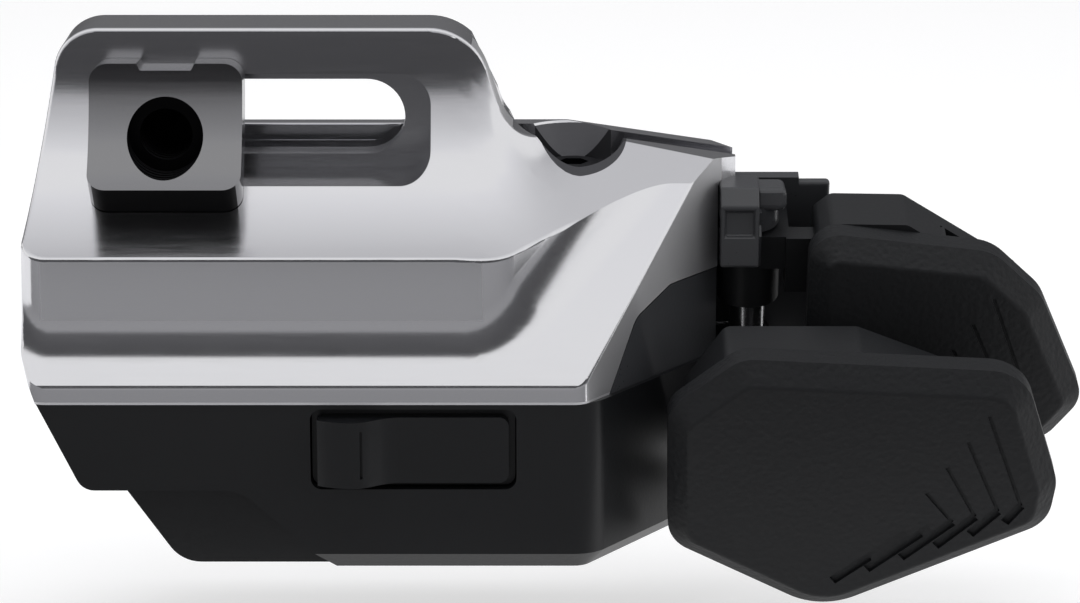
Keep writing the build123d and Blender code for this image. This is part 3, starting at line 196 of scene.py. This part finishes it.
@dataclass(frozen=True)
class PolishedCover:
    """Cast aluminium, machined and polished bright, with satin regions, painted shade in its dimple and a
    painted highlight along its foot.
    """

    name: str = "polished_aluminium"
    polished: tuple[str, float] = ("dadadd", 0.17)
    satin_band: tuple[str, float] = ("d6d6d9", 0.42)
    satin_side: tuple[str, float] = ("d0d0d2", 0.55)
    # Painted shade: the screw dimple is given a dark colour, and it is rougher.
    dimple_painted_shade: tuple[str, float] = ("5a5a5d", 0.45)
    # Painted highlight: a bright, rough band along the foot of the flange.
    foot_painted_highlight: tuple[str, float] = ("f2f2f4", 0.60)
    band_mm: tuple[float, float] = (-13.7, -8.95)
    side_back_mm: float = 7.2
    dimple_mm: tuple[float, float] = (32.5, 8.8)
    dimple_r_mm: float = 4.35
    foot_mm: float = -19.62
    mark_mm: float = 0.22
    mark_depth_mm: float = 0.004
    mark_spread: float = 0.05
    faces_front: float = -0.97
    faces_right: float = 0.7

    def build(self) -> bpy.types.Material:
        """Make the material: a soft mirror, blasted satin on its band and side, a dark rough painted shade in
        the dimple and a painted highlight along the foot.

        Returns:
            The material.
        """
        material, tree, shader = new_material(self.name)
        where = add_node(tree, "SeparateXYZ", inputs={0: add_node(tree, "TexCoord").outputs["Object"]})
        across, along, up = (where.outputs[i] for i in range(3))
        facing = add_node(tree, "SeparateXYZ", inputs={0: add_node(tree, "NewGeometry").outputs["Normal"]})
        band = reckon(tree, "MULTIPLY", reckon(tree, "GREATER_THAN", up, self.band_mm[0] * MM),
                      reckon(tree, "LESS_THAN", up, self.band_mm[1] * MM))
        band = reckon(tree, "MULTIPLY", band,
                      reckon(tree, "LESS_THAN", facing.outputs["Y"], self.faces_front))
        side = reckon(tree, "MULTIPLY", reckon(tree, "GREATER_THAN", facing.outputs["X"], self.faces_right),
                      reckon(tree, "LESS_THAN", along, self.side_back_mm * MM))
        aside = reckon(tree, "SUBTRACT", across, self.dimple_mm[0] * MM)
        behind = reckon(tree, "SUBTRACT", along, self.dimple_mm[1] * MM)
        reach = reckon(tree, "SQRT", reckon(tree, "ADD", reckon(tree, "MULTIPLY", aside, aside),
                                            reckon(tree, "MULTIPLY", behind, behind)))
        # Where the dimple's painted shade goes.
        dimple = reckon(tree, "LESS_THAN", reach, self.dimple_r_mm * MM)
        # Where the foot's painted highlight goes.
        foot = reckon(tree, "LESS_THAN", up, self.foot_mm * MM)
        look = (linear(self.polished[0]), self.polished[1])
        for mask, (colour, rough) in ((band, self.satin_band), (side, self.satin_side),
                                      (dimple, self.dimple_painted_shade), (foot, self.foot_painted_highlight)):
            look = lay_over(tree, look, (linear(colour), rough), mask)
        marks = grain_along(tree, Grain.ALONG_X, self.mark_mm)
        bump = add_node(tree, "Bump", inputs={"Height": marks, "Distance": self.mark_depth_mm * MM,
                                              "Strength": 0.3})
        tree.links.new(look[0], shader.inputs["Base Color"])
        spread = between(tree, marks, -self.mark_spread, self.mark_spread)
        tree.links.new(reckon(tree, "ADD", look[1], spread), shader.inputs["Roughness"])
        tree.links.new(bump.outputs[0], shader.inputs["Normal"])
        shader.inputs["Metallic"].default_value = 1.0
        return material


@dataclass(frozen=True)
class MouldedResin:
    """Glass-filled nylon, moulded black, whose tool texture gives a soft satin sheen."""

    name: str
    colour: str
    rough: float
    surface: Surface = Surface.SPARK_ERODED
    grain_mm: float = 0.3
    depth_mm: float = 0.012
    ior: float = 1.46
    worn_colour: str = "232427"
    cloud_share: float = 0.35
    fine_spread: float = 0.05
    cloud_spread: float = 0.03

    def build(self) -> bpy.types.Material:
        """Make the material with the relief that its tool left.

        Returns:
            The material.
        """
        material, tree, shader = new_material(self.name)
        fine = grain_along(tree, Grain.ALL_ROUND, self.grain_mm)
        height = fine
        if self.surface is Surface.STIPPLED:
            where = add_node(tree, "TexCoord").outputs["Object"]
            cells = add_node(tree, "TexVoronoi", {"feature": "SMOOTH_F1"},
                             {"Vector": where, "Scale": per_mm(self.grain_mm)})
            height = reckon(tree, "ADD", cells.outputs["Distance"], fine)
        cloud = grain_along(tree, Grain.ALL_ROUND, 40 * self.grain_mm)
        bump = add_node(tree, "Bump", inputs={"Height": height, "Distance": self.depth_mm * MM,
                                              "Strength": 0.7})
        rough = between(tree, fine, self.rough - self.fine_spread, self.rough + self.fine_spread)
        rough = reckon(tree, "ADD", rough, between(tree, cloud, -self.cloud_spread, self.cloud_spread))
        shade = add_node(tree, "Mix", {"data_type": "RGBA"},
                         {"Factor": between(tree, cloud, 0.0, self.cloud_share), "A": linear(self.colour),
                          "B": linear(self.worn_colour)})
        tree.links.new(shade.outputs["Result"], shader.inputs["Base Color"])
        tree.links.new(bump.outputs[0], shader.inputs["Normal"])
        tree.links.new(rough, shader.inputs["Roughness"])
        shader.inputs["IOR"].default_value = self.ior
        return material


@dataclass(frozen=True)
class MachinedMetal:
    """Turned, pressed or plated metal with faint marks from its tool."""

    name: str
    colour: str
    rough: float = 0.3
    grain: Grain = Grain.ALL_ROUND
    mark_mm: float = 0.3
    mark_depth_mm: float = 0.003
    mark_spread: float = 0.06

    def build(self) -> bpy.types.Material:
        """Make the material, whose marks break its highlights a little.

        Returns:
            The material.
        """
        material, tree, shader = new_material(self.name)
        marks = grain_along(tree, self.grain, self.mark_mm)
        bump = add_node(tree, "Bump", inputs={"Height": marks, "Distance": self.mark_depth_mm * MM,
                                              "Strength": 0.4})
        rough = between(tree, marks, self.rough - self.mark_spread, self.rough + self.mark_spread)
        tree.links.new(bump.outputs[0], shader.inputs["Normal"])
        tree.links.new(rough, shader.inputs["Roughness"])
        shader.inputs["Metallic"].default_value = 1.0
        shader.inputs["Base Color"].default_value = linear(self.colour)
        return material


@dataclass(frozen=True)
class ThreadedNut:
    """Polished aluminium nut, with a dark colour painted in its bore and under its lower edge as shade."""

    name: str = "nut_aluminium"
    polished: tuple[str, float] = ("868688", 0.2)
    # Painted shade: a dark colour for the bore and for the faces that point down.
    painted_shade: tuple[str, float] = ("161617", 0.45)
    sink_r_mm: float = 3.03
    pitch_mm: float = 0.8
    mark_mm: float = 0.25
    mark_spread: float = 0.03
    faces_down: float = -0.45
    ridge_share: float = 2.0
    mark_share: float = 0.004
    relief_mm: float = 0.4

    def build(self) -> bpy.types.Material:
        """Make the material, with the thread as a helix that follows the bore's own axis.

        Returns:
            The material.
        """
        material, tree, shader = new_material(self.name)
        where = add_node(tree, "SeparateXYZ", inputs={0: add_node(tree, "TexCoord").outputs["Object"]})
        across, along, up = (where.outputs[i] for i in range(3))
        facing = add_node(tree, "SeparateXYZ", inputs={0: add_node(tree, "NewGeometry").outputs["Normal"]})
        reach = reckon(tree, "SQRT", reckon(tree, "ADD", reckon(tree, "MULTIPLY", across, across),
                                            reckon(tree, "MULTIPLY", up, up)))
        inside = reckon(tree, "LESS_THAN", reach, self.sink_r_mm * MM)
        # Faces that point down, under the lower edge, where shade is painted.
        below = reckon(tree, "LESS_THAN", facing.outputs["Z"], self.faces_down)
        turn = reckon(tree, "DIVIDE", reckon(tree, "ARCTAN2", up, across), 2 * math.pi)
        climb = reckon(tree, "ADD", reckon(tree, "DIVIDE", along, self.pitch_mm * MM), turn)
        ridge = reckon(tree, "MULTIPLY", reckon(tree, "PINGPONG", climb, 0.5), inside)
        marks = grain_along(tree, Grain.ALONG_X, self.mark_mm)
        relief = reckon(tree, "ADD", reckon(tree, "MULTIPLY", ridge, self.ridge_share),
                        reckon(tree, "MULTIPLY", marks, self.mark_share))
        bump = add_node(tree, "Bump", inputs={"Height": relief, "Distance": self.relief_mm * MM,
                                              "Strength": 1.0})
        # Lay the painted shade over the bore and the downward faces.
        look = lay_over(tree, (linear(self.polished[0]), self.polished[1]),
                        (linear(self.painted_shade[0]), self.painted_shade[1]), reckon(tree, "MAXIMUM", inside, below))
        tree.links.new(bump.outputs[0], shader.inputs["Normal"])
        tree.links.new(look[0], shader.inputs["Base Color"])
        spread = between(tree, marks, -self.mark_spread, self.mark_spread)
        tree.links.new(reckon(tree, "ADD", look[1], spread), shader.inputs["Roughness"])
        shader.inputs["Metallic"].default_value = 1.0
        return material


Finish = PolishedCover | MouldedResin | MachinedMetal | ThreadedNut

# Cast aluminium, polished: a soft mirror, with satin places, painted shade in its dimple and a painted
# highlight along its foot.
COVER = PolishedCover()
# Turned aluminium, polished on its face, with shade painted dark in its thread and under its lower edge.
NUT = ThreadedNut()
# Glass-filled nylon from a spark-eroded mould: black, with a broad dull highlight.
HOUSING = MouldedResin("moulded_nylon", "111214", rough=0.34)
# The same nylon from a smoother mould, given a lighter base colour than the housing's so that its faces look
# lit: painted light.
BRACKET = MouldedResin("bracket_nylon_painted_light", "404144", rough=0.3)
# Nylon with a coarser mould: the same black, drier to the eye.
LEVER = MouldedResin("lever_nylon", "18191b", rough=0.44, ior=1.42)
# Matt elastomer with a stipple, drawn a little coarser than it is so that it shows.
PAD = MouldedResin("stippled_elastomer", "18191b", rough=0.6, ior=1.38, surface=Surface.STIPPLED,
                   grain_mm=0.45, depth_mm=0.06)
# Silicone rubber: black and dull, with hardly any highlight.
RUBBER = MouldedResin("silicone_rubber", "101112", rough=0.7)
# Green solder mask over a glass-fibre board: smooth and a little glossy.
BOARD = MouldedResin("solder_mask", "0d4a2c", rough=0.3)
# Acetal: off-white, smooth and slightly waxy.
BUSH = MouldedResin("acetal_resin", "b8b2a4", rough=0.4)
# Stainless steel wire and clips: bright, with faint drawing marks.
STEEL = MachinedMetal("stainless_steel", "bcbcbe", rough=0.24)
# Blackened steel: a dark metal whose highlights stay soft.
BLACK_STEEL = MachinedMetal("blackened_steel", "26262a", rough=0.38)
# Nickel plate on a can or a cell: a warm, fairly sharp mirror.
PLATED = MachinedMetal("nickel_plate", "c2c0bb", rough=0.22, grain=Grain.ALONG_X)
# Rolled spring brass: yellow, with marks along the strip.
BRASS = MachinedMetal("spring_brass", "c8a860", rough=0.28, grain=Grain.ALONG_Y)


class Workshop:
    """Keeps each finish's material, so that it is made only once."""

    def __init__(self) -> None:
        """Start with no materials."""
        self.made: dict[Finish, bpy.types.Material] = {}

    def material(self, finish: Finish) -> bpy.types.Material:
        """Make the finish's material when it is first asked for, and keep it.

        Args:
            finish: The finish.

        Returns:
            Its material.
        """
        if finish not in self.made:
            self.made[finish] = finish.build()
        return self.made[finish]

    def dress(self, node: str, finish: Finish) -> None:
        """Give one CAD node its finish.

        Args:
            node: Name of the node.
            finish: Its finish.
        """
        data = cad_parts[node].data
        data.materials.clear()
        data.materials.append(self.material(finish))
        LOG.info("%s: %s", node, finish.name)


def bar(name: str, low_mm: tuple[float, float, float], high_mm: tuple[float, float, float], edge_mm: float,
        place: Matrix) -> bpy.types.Object:
    """Mill one bar with rounded edges.

    Args:
        name: Name of the piece.
        low_mm: Its lowest corner on its own axes.
        high_mm: Its highest corner.
        edge_mm: Radius of its edges.
        place: Turn and shift in millimetres that carry it into the part.

    Returns:
        The piece, at the origin with its place in its mesh.
    """
    low, high = Vector(low_mm), Vector(high_mm)
    shape = bmesh.new()
    bmesh.ops.create_cube(shape, size=1.0)
    bmesh.ops.scale(shape, verts=shape.verts, vec=high - low)
    bmesh.ops.translate(shape, verts=shape.verts, vec=(low + high) / 2)
    bmesh.ops.bevel(shape, geom=shape.edges[:], offset=edge_mm, affect="EDGES", segments=EDGE_STEPS,
                    profile=0.5, material=-1)
    bmesh.ops.recalc_face_normals(shape, faces=shape.faces)
    bmesh.ops.transform(shape, matrix=Matrix.Scale(MM, 4) @ place, verts=shape.verts)
    mesh = bpy.data.meshes.new(name)
    shape.to_mesh(mesh)
    shape.free()
    piece = bpy.data.objects.new(name, mesh)
    bpy.context.collection.objects.link(piece)
    LOG.info("%s: bar with %.2f mm edges", name, edge_mm)
    return piece


@dataclass
class SubAssembly:
    """Pieces that come off the bench together, each with its finish."""

    finishes: dict[str, Finish]

    def build(self, workshop: Workshop) -> None:
        """Dress every piece.

        Args:
            workshop: Where the materials are kept.
        """
        for node, finish in self.finishes.items():
            workshop.dress(node, finish)


@dataclass
class CoverGroup(SubAssembly):
    """Polished cover with its gasket, the screw in its dimple and the rail behind its slot."""

    finishes: dict[str, Finish] = field(default_factory=lambda: {
        "top_cover": COVER, "housing_gasket": RUBBER, "recess_screw": BLACK_STEEL})
    rail_low_mm: tuple[float, float, float] = (-3.6, 11.82, -3.3)
    rail_high_mm: tuple[float, float, float] = (18.9, 13.48, -1.66)
    rail_edge_mm: float = 0.25

    def build(self, workshop: Workshop) -> None:
        """Dress the cover and lay the rail that closes its back below the slot.

        Args:
            workshop: Where the materials are kept.
        """
        super().build(workshop)
        rail = bar("slot_back_rail", self.rail_low_mm, self.rail_high_mm, self.rail_edge_mm, Matrix())
        rail.data.materials.append(workshop.material(COVER))
        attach(rail, "housing")


@dataclass
class HousingGroup(SubAssembly):
    """Lower housing with the electronics and the screws that close it."""

    finishes: dict[str, Finish] = field(default_factory=lambda: {
        "lower_housing": HOUSING, "bottom_screws": BLACK_STEEL, "circuit_board": BOARD,
        "radio_module": PLATED, "upper_switch": HOUSING, "lower_switch": HOUSING,
        "upper_plunger": BUSH, "lower_plunger": BUSH, "battery_contact_positive": BRASS,
        "battery_contact_negative": BRASS})


@dataclass
class DrawerGroup(SubAssembly):
    """Battery drawer with its cell and seal."""

    finishes: dict[str, Finish] = field(default_factory=lambda: {
        "battery_tray": HOUSING, "coin_cell": PLATED, "tray_seal": RUBBER})


@dataclass
class NutGroup(SubAssembly):
    """Fixing nut and what keeps it in the slot."""

    finishes: dict[str, Finish] = field(default_factory=lambda: {
        "fixing_nut": NUT, "nut_retainer": STEEL, "retainer_clip": STEEL})


@dataclass
class PaddleGroup(SubAssembly):
    """Lever arms with their bushes, cores and grained pads."""

    finishes: dict[str, Finish] = field(default_factory=lambda: {
        "upper_lever_arm": LEVER, "lower_lever_arm": LEVER, "upper_bush": BUSH, "lower_bush": BUSH,
        "upper_paddle_core": LEVER, "lower_paddle_core": LEVER, "upper_paddle_pad": PAD,
        "lower_paddle_pad": PAD, "upper_paddle_screw": BLACK_STEEL, "lower_paddle_screw": BLACK_STEEL})


@dataclass
class BracketGroup(SubAssembly):
    """Bracket, axle and the two coiled return springs round it."""

    finishes: dict[str, Finish] = field(default_factory=lambda: {
        "lever_bracket": BRACKET, "bracket_screws": BLACK_STEEL, "pivot_axle": BLACK_STEEL,
        "axle_clip": STEEL, "hub_spacer": STEEL, "upper_return_spring": STEEL,
        "lower_return_spring": STEEL})
    axle_mm: tuple[float, float, float] = (47.0, 10.4, -16.575)
    tilt: float = 15.0
    coil_r_mm: float = 1.8
    wire_r_mm: float = 0.2
    coil_mm: float = 1.8
    upper_low_mm: float = 1.6
    lower_low_mm: float = -4.0
    upper_hub_mm: float = 4.55
    lower_hub_mm: float = -5.15
    leg_end_mm: float = -4.15
    web_low_mm: tuple[float, float, float] = (3.6, 3.2, -10.4)
    web_high_mm: tuple[float, float, float] = (6.8, 4.1, 9.6)
    web_edge_mm: float = 0.35
    lid_low_mm: tuple[float, float, float] = (47.2, 5.6, -7.7)
    lid_high_mm: tuple[float, float, float] = (49.9, 9.6, -5.8)
    lid_edge_mm: float = 0.55
    cap_side_mm: tuple[tuple[float, float], ...] = (
        (5.5, -12.2), (4.1, -12.0), (4.3, -7.0), (5.4, -5.65), (8.3, -5.25), (8.3, -8.2), (5.5, -8.5))
    cap_left_mm: float = 44.45
    cap_wide_mm: float = 3.15
    cap_edge_mm: float = 0.16
    cap_edge_steps: int = 3
    cap_front: float = -0.9
    window_foot_mm: float = -9.9
    window_frame_mm: float = 0.35
    window_slope_mm: float = 0.12
    window_deep_mm: float = 0.4
    sharp: float = 20.0
    wire_sides: int = 12
    turn_steps: int = 28
    turn_gap: float = 1.04

    def axle_frame(self) -> Matrix:
        """Turn and shift that carry the axle's own axes into the part's."""
        return Matrix.Translation(Vector(self.axle_mm)) @ Matrix.Rotation(math.radians(self.tilt), 4, "X")

    def rod(self, shape: bmesh.types.BMesh, start: Vector, end: Vector) -> None:
        """Add one straight leg of wire.

        Args:
            shape: The spring's mesh, in millimetres on the axle's axes.
            start: Where the leg starts.
            end: Where it ends.
        """
        run = end - start
        place = Matrix.Translation((start + end) / 2) @ run.to_track_quat("Z", "Y").to_matrix().to_4x4()
        bmesh.ops.create_cone(shape, cap_ends=True, segments=self.wire_sides, radius1=self.wire_r_mm,
                              radius2=self.wire_r_mm, depth=run.length, matrix=place)

    def coil(self, name: str, low: float, hub: float, workshop: Workshop) -> None:
        """Wind one return spring, which stands for its CAD sleeve.

        Args:
            name: Name of the CAD node that it replaces.
            low: Height of its lowest turn along the axle.
            hub: Height of the hub that its leg reaches.
            workshop: Where the materials are kept.
        """
        shape = bmesh.new()
        ring = bmesh.ops.create_circle(shape, cap_ends=False, segments=self.wire_sides, radius=self.wire_r_mm,
                                       matrix=Matrix.Translation((self.coil_r_mm, 0, low + self.wire_r_mm))
                                       @ Matrix.Rotation(math.radians(90), 4, "X"))
        rise = self.coil_mm - 2 * self.wire_r_mm
        turns = rise / (2 * self.wire_r_mm * self.turn_gap)
        steps = round(turns * self.turn_steps)
        edges = list({edge for vert in ring["verts"] for edge in vert.link_edges})
        bmesh.ops.spin(shape, geom=ring["verts"] + edges, cent=(0, 0, 0), axis=(0, 0, 1), steps=steps,
                       angle=2 * math.pi * turns, dvec=(0, 0, rise / steps), use_merge=False)
        ends = [edge for edge in shape.edges if edge.is_boundary]
        bmesh.ops.holes_fill(shape, edges=ends, sides=self.wire_sides)
        middle = low + self.coil_mm / 2
        self.rod(shape, Vector((0, self.coil_r_mm, middle)),
                 Vector((self.leg_end_mm, self.coil_r_mm, middle)))
        self.rod(shape, Vector((self.coil_r_mm, 0, middle)), Vector((self.coil_r_mm, 0, hub)))
        bmesh.ops.recalc_face_normals(shape, faces=shape.faces)
        for face in shape.faces:
            face.smooth = True
        bmesh.ops.transform(shape, matrix=Matrix.Scale(MM, 4) @ self.axle_frame(), verts=shape.verts)
        mesh = bpy.data.meshes.new(f"{name}_coil")
        shape.to_mesh(mesh)
        shape.free()
        spring = bpy.data.objects.new(f"{name}_coil", mesh)
        bpy.context.collection.objects.link(spring)
        mesh.materials.append(workshop.material(STEEL))
        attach(spring, "housing")
        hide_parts(name)
        LOG.info("%s: %d turns of wire", spring.name, round(turns))

    def front_cap(self) -> bpy.types.Object:
        """Mould the cap in front of the hub: a sloped roof over a panel with a shallow window.

        Returns:
            The cap, with its place in its mesh.
        """
        shape = bmesh.new()
        corners = [shape.verts.new((self.cap_left_mm, along, up)) for along, up in self.cap_side_mm]
        pushed = bmesh.ops.extrude_face_region(shape, geom=[shape.faces.new(corners)])["geom"]
        moved = [item for item in pushed if isinstance(item, bmesh.types.BMVert)]
        bmesh.ops.translate(shape, verts=moved, vec=(self.cap_wide_mm, 0, 0))
        bmesh.ops.bisect_plane(shape, geom=shape.verts[:] + shape.edges[:] + shape.faces[:],
                               plane_co=(0, 0, self.window_foot_mm), plane_no=(0, 0, 1))
        bmesh.ops.recalc_face_normals(shape, faces=shape.faces)
        panel = [face for face in shape.faces
                 if face.normal.y < self.cap_front and face.calc_center_median().z > self.window_foot_mm]
        bmesh.ops.inset_region(shape, faces=panel, thickness=self.window_frame_mm, use_even_offset=True)
        bmesh.ops.inset_region(shape, faces=panel, thickness=self.window_slope_mm, depth=-self.window_deep_mm,
                               use_even_offset=True)
        folds = [edge for edge in shape.edges if edge.calc_face_angle() > math.radians(self.sharp)]
        bmesh.ops.bevel(shape, geom=folds, offset=self.cap_edge_mm, affect="EDGES",
                        segments=self.cap_edge_steps, profile=0.5, material=-1, clamp_overlap=True)
        bmesh.ops.scale(shape, verts=shape.verts, vec=(MM, MM, MM))
        mesh = bpy.data.meshes.new("bracket_front_cap")
        shape.to_mesh(mesh)
        shape.free()
        cap = bpy.data.objects.new("bracket_front_cap", mesh)
        bpy.context.collection.objects.link(cap)
        LOG.info("%s: window %.1f mm deep", cap.name, self.window_deep_mm)
        return cap

    def build(self, workshop: Workshop) -> None:
        """Dress the bracket, wind its springs, widen its back web and cap its hub.

        Args:
            workshop: Where the materials are kept.
        """
        super().build(workshop)
        self.coil("upper_return_spring", self.upper_low_mm, self.upper_hub_mm, workshop)
        self.coil("lower_return_spring", self.lower_low_mm, self.lower_hub_mm, workshop)
        web = bar("bracket_web_edge", self.web_low_mm, self.web_high_mm, self.web_edge_mm, self.axle_frame())
        lid = bar("bracket_hub_lid", self.lid_low_mm, self.lid_high_mm, self.lid_edge_mm, Matrix())
        for piece in (web, lid, self.front_cap()):
            piece.data.materials.append(workshop.material(BRACKET))
            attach(piece, "housing")


@dataclass
class Studio:
    """Pale floor, soft lights, grey cards for the metal to mirror, and the camera."""

    target_mm: tuple[float, float, float] = (29.76, -4.38, -12.61)
    elevation: float = 15.0
    distance_mm: float = 300.0
    width_mm: float = 85.714
    floor_z_mm: float = -42.0
    floor_glow: float = 0.62
    room_light: float = 0.32

    def camera(self) -> None:
        """Set the camera at the viewing angle of the photograph."""
        data = bpy.data.cameras.new("view")
        data.sensor_width = 36.0
        data.lens = data.sensor_width * self.distance_mm / self.width_mm
        data.clip_start = 0.01
        data.clip_end = 20
        camera = bpy.data.objects.new("view", data)
        bpy.context.collection.objects.link(camera)
        tilt = math.radians(self.elevation)
        back = Vector((0, -math.cos(tilt), math.sin(tilt)))
        camera.location = (Vector(self.target_mm) + back * self.distance_mm) * MM
        camera.rotation_euler = (math.radians(90) - tilt, 0, 0)
        bpy.context.scene.camera = camera

    def sheet(self, name: str, size_mm: tuple[float, float]) -> bpy.types.Object:
        """Make one flat sheet of the studio.

        Args:
            name: Its name.
            size_mm: Its width and depth.

        Returns:
            The sheet, lying at the origin with no material.
        """
        mesh = bpy.data.meshes.new(name)
        shape = bmesh.new()
        bmesh.ops.create_grid(shape, x_segments=1, y_segments=1, size=0.5)
        bmesh.ops.scale(shape, verts=shape.verts, vec=(size_mm[0] * MM, size_mm[1] * MM, 1))
        shape.to_mesh(mesh)
        shape.free()
        sheet = bpy.data.objects.new(name, mesh)
        bpy.context.collection.objects.link(sheet)
        return sheet

    def floor(self) -> None:
        """Lay the pale floor, white where it is seen and still dimmed by the object's shadow."""
        floor = self.sheet("floor", (12000, 12000))
        floor.location.z = self.floor_z_mm * MM
        material, tree, shader = new_material("pale_floor")
        shader.inputs["Base Color"].default_value = linear("b4b4b6")
        shader.inputs["Roughness"].default_value = 0.9
        glow = reckon(tree, "MULTIPLY", seen_rays(tree), self.floor_glow)
        shader.inputs["Emission Color"].default_value = linear(WHITE)
        tree.links.new(glow, shader.inputs["Emission Strength"])
        floor.data.materials.append(material)

    def card(self, name: str, place_mm: tuple[float, float, float], turn: tuple[float, float, float],
             size_mm: tuple[float, float], low: str, high: str) -> None:
        """Stand a card that only reflections see, shaded evenly from one edge to the other.

        Args:
            name: Name of the card.
            place_mm: Its middle.
            turn: Its turn about X, Y and Z in degrees.
            size_mm: Its width and height.
            low: Its sRGB colour along the edge at its own lower Y.
            high: Its sRGB colour along the other edge.
        """
        card = self.sheet(name, size_mm)
        card.location = Vector(place_mm) * MM
        card.rotation_euler = [math.radians(a) for a in turn]
        card.visible_camera = False
        card.visible_shadow = False
        card.visible_diffuse = False
        material, tree, shader = new_material(name)
        where = add_node(tree, "SeparateXYZ", inputs={0: add_node(tree, "TexCoord").outputs["Object"]})
        half = size_mm[1] * MM / 2
        share = add_node(tree, "MapRange",
                         inputs={"Value": where.outputs[1], "From Min": -half, "From Max": half})
        shade = add_node(tree, "Mix", {"data_type": "RGBA"},
                         {"Factor": share.outputs[0], "A": linear(low), "B": linear(high)})
        tree.links.new(shade.outputs["Result"], shader.inputs["Emission Color"])
        shader.inputs["Emission Strength"].default_value = 1.0
        shader.inputs["Base Color"].default_value = linear(BLACK)
        shader.inputs["Specular IOR Level"].default_value = 0.0
        card.data.materials.append(material)

    def lamp(self, name: str, place_mm: tuple[float, float, float], aim_mm: tuple[float, float, float],
             size_mm: tuple[float, float], brightness: float) -> None:
        """Hang one soft box.

        Args:
            name: Name of the lamp.
            place_mm: Its middle.
            aim_mm: The point it faces.
            size_mm: Its width and height.
            brightness: How bright its face looks, where 1 is white.
        """
        data = bpy.data.lights.new(name, "AREA")
        data.shape = "RECTANGLE"
        data.size = size_mm[0] * MM
        data.size_y = size_mm[1] * MM
        data.energy = brightness * math.pi * data.size * data.size_y
        lamp = bpy.data.objects.new(name, data)
        lamp.location = Vector(place_mm) * MM
        lamp.rotation_euler = (Vector(aim_mm) - Vector(place_mm)).to_track_quat("-Z", "Y").to_euler()
        lamp.visible_glossy = False
        bpy.context.collection.objects.link(lamp)

    def world(self) -> None:
        """Light the room evenly; the camera, metal and glass see white behind the object."""
        world = bpy.data.worlds.new("room")
        world.use_nodes = True
        tree = world.node_tree
        tree.nodes.clear()
        dim = add_node(tree, "Background", inputs={"Color": linear(WHITE), "Strength": self.room_light})
        white = add_node(tree, "Background", inputs={"Color": linear(WHITE), "Strength": 1.0})
        both = add_node(tree, "MixShader",
                        inputs={0: seen_rays(tree), 1: dim.outputs[0], 2: white.outputs[0]})
        add_node(tree, "OutputWorld", inputs={"Surface": both.outputs[0]})
        bpy.context.scene.world = world

    def build(self) -> None:
        """Set up everything that isn't the object."""
        self.camera()
        self.floor()
        self.world()
        self.lamp("overhead_box", (20, 30, 420), (25, 0, 0), (460, 460), 2.2)
        self.lamp("left_box", (-380, -160, 160), (0, 0, -5), (260, 300), 0.7)
        self.lamp("right_box", (420, -120, 160), (40, 0, -10), (240, 300), 1.6)
        self.card("band_card", (30, -24, -27), (90, 0, 0), (260, 32), "7c7c7e", "a4a4a6")
        self.card("trough_card", (30, -24, -1), (90, 0, 0), (260, 20), "5a5a5c", "3c3c3e")
        self.card("far_front_card", (30, -700, 290), (90, 0, 0), (1600, 880), "949496", "fafafc")
        self.card("overhead_card", (30, 100, 400), (0, 0, 0), (1200, 480), "fcfcfe", "bcbcbe")
        self.card("back_card", (30, 345, 180), (90, 0, 0), (1200, 440), "58585a", "9c9c9e")
        bpy.context.scene.view_settings.view_transform = "Standard"


def main() -> None:
    """Build the studio and dress the part, group by group."""
    logging.basicConfig(level=logging.INFO, format="%(message)s")
    Studio().build()
    workshop = Workshop()
    for group in (CoverGroup(), NutGroup(), HousingGroup(), DrawerGroup(), BracketGroup(), PaddleGroup()):
        LOG.info("%s", type(group).__name__)
        group.build(workshop)


if __name__ == "__main__":
    main()
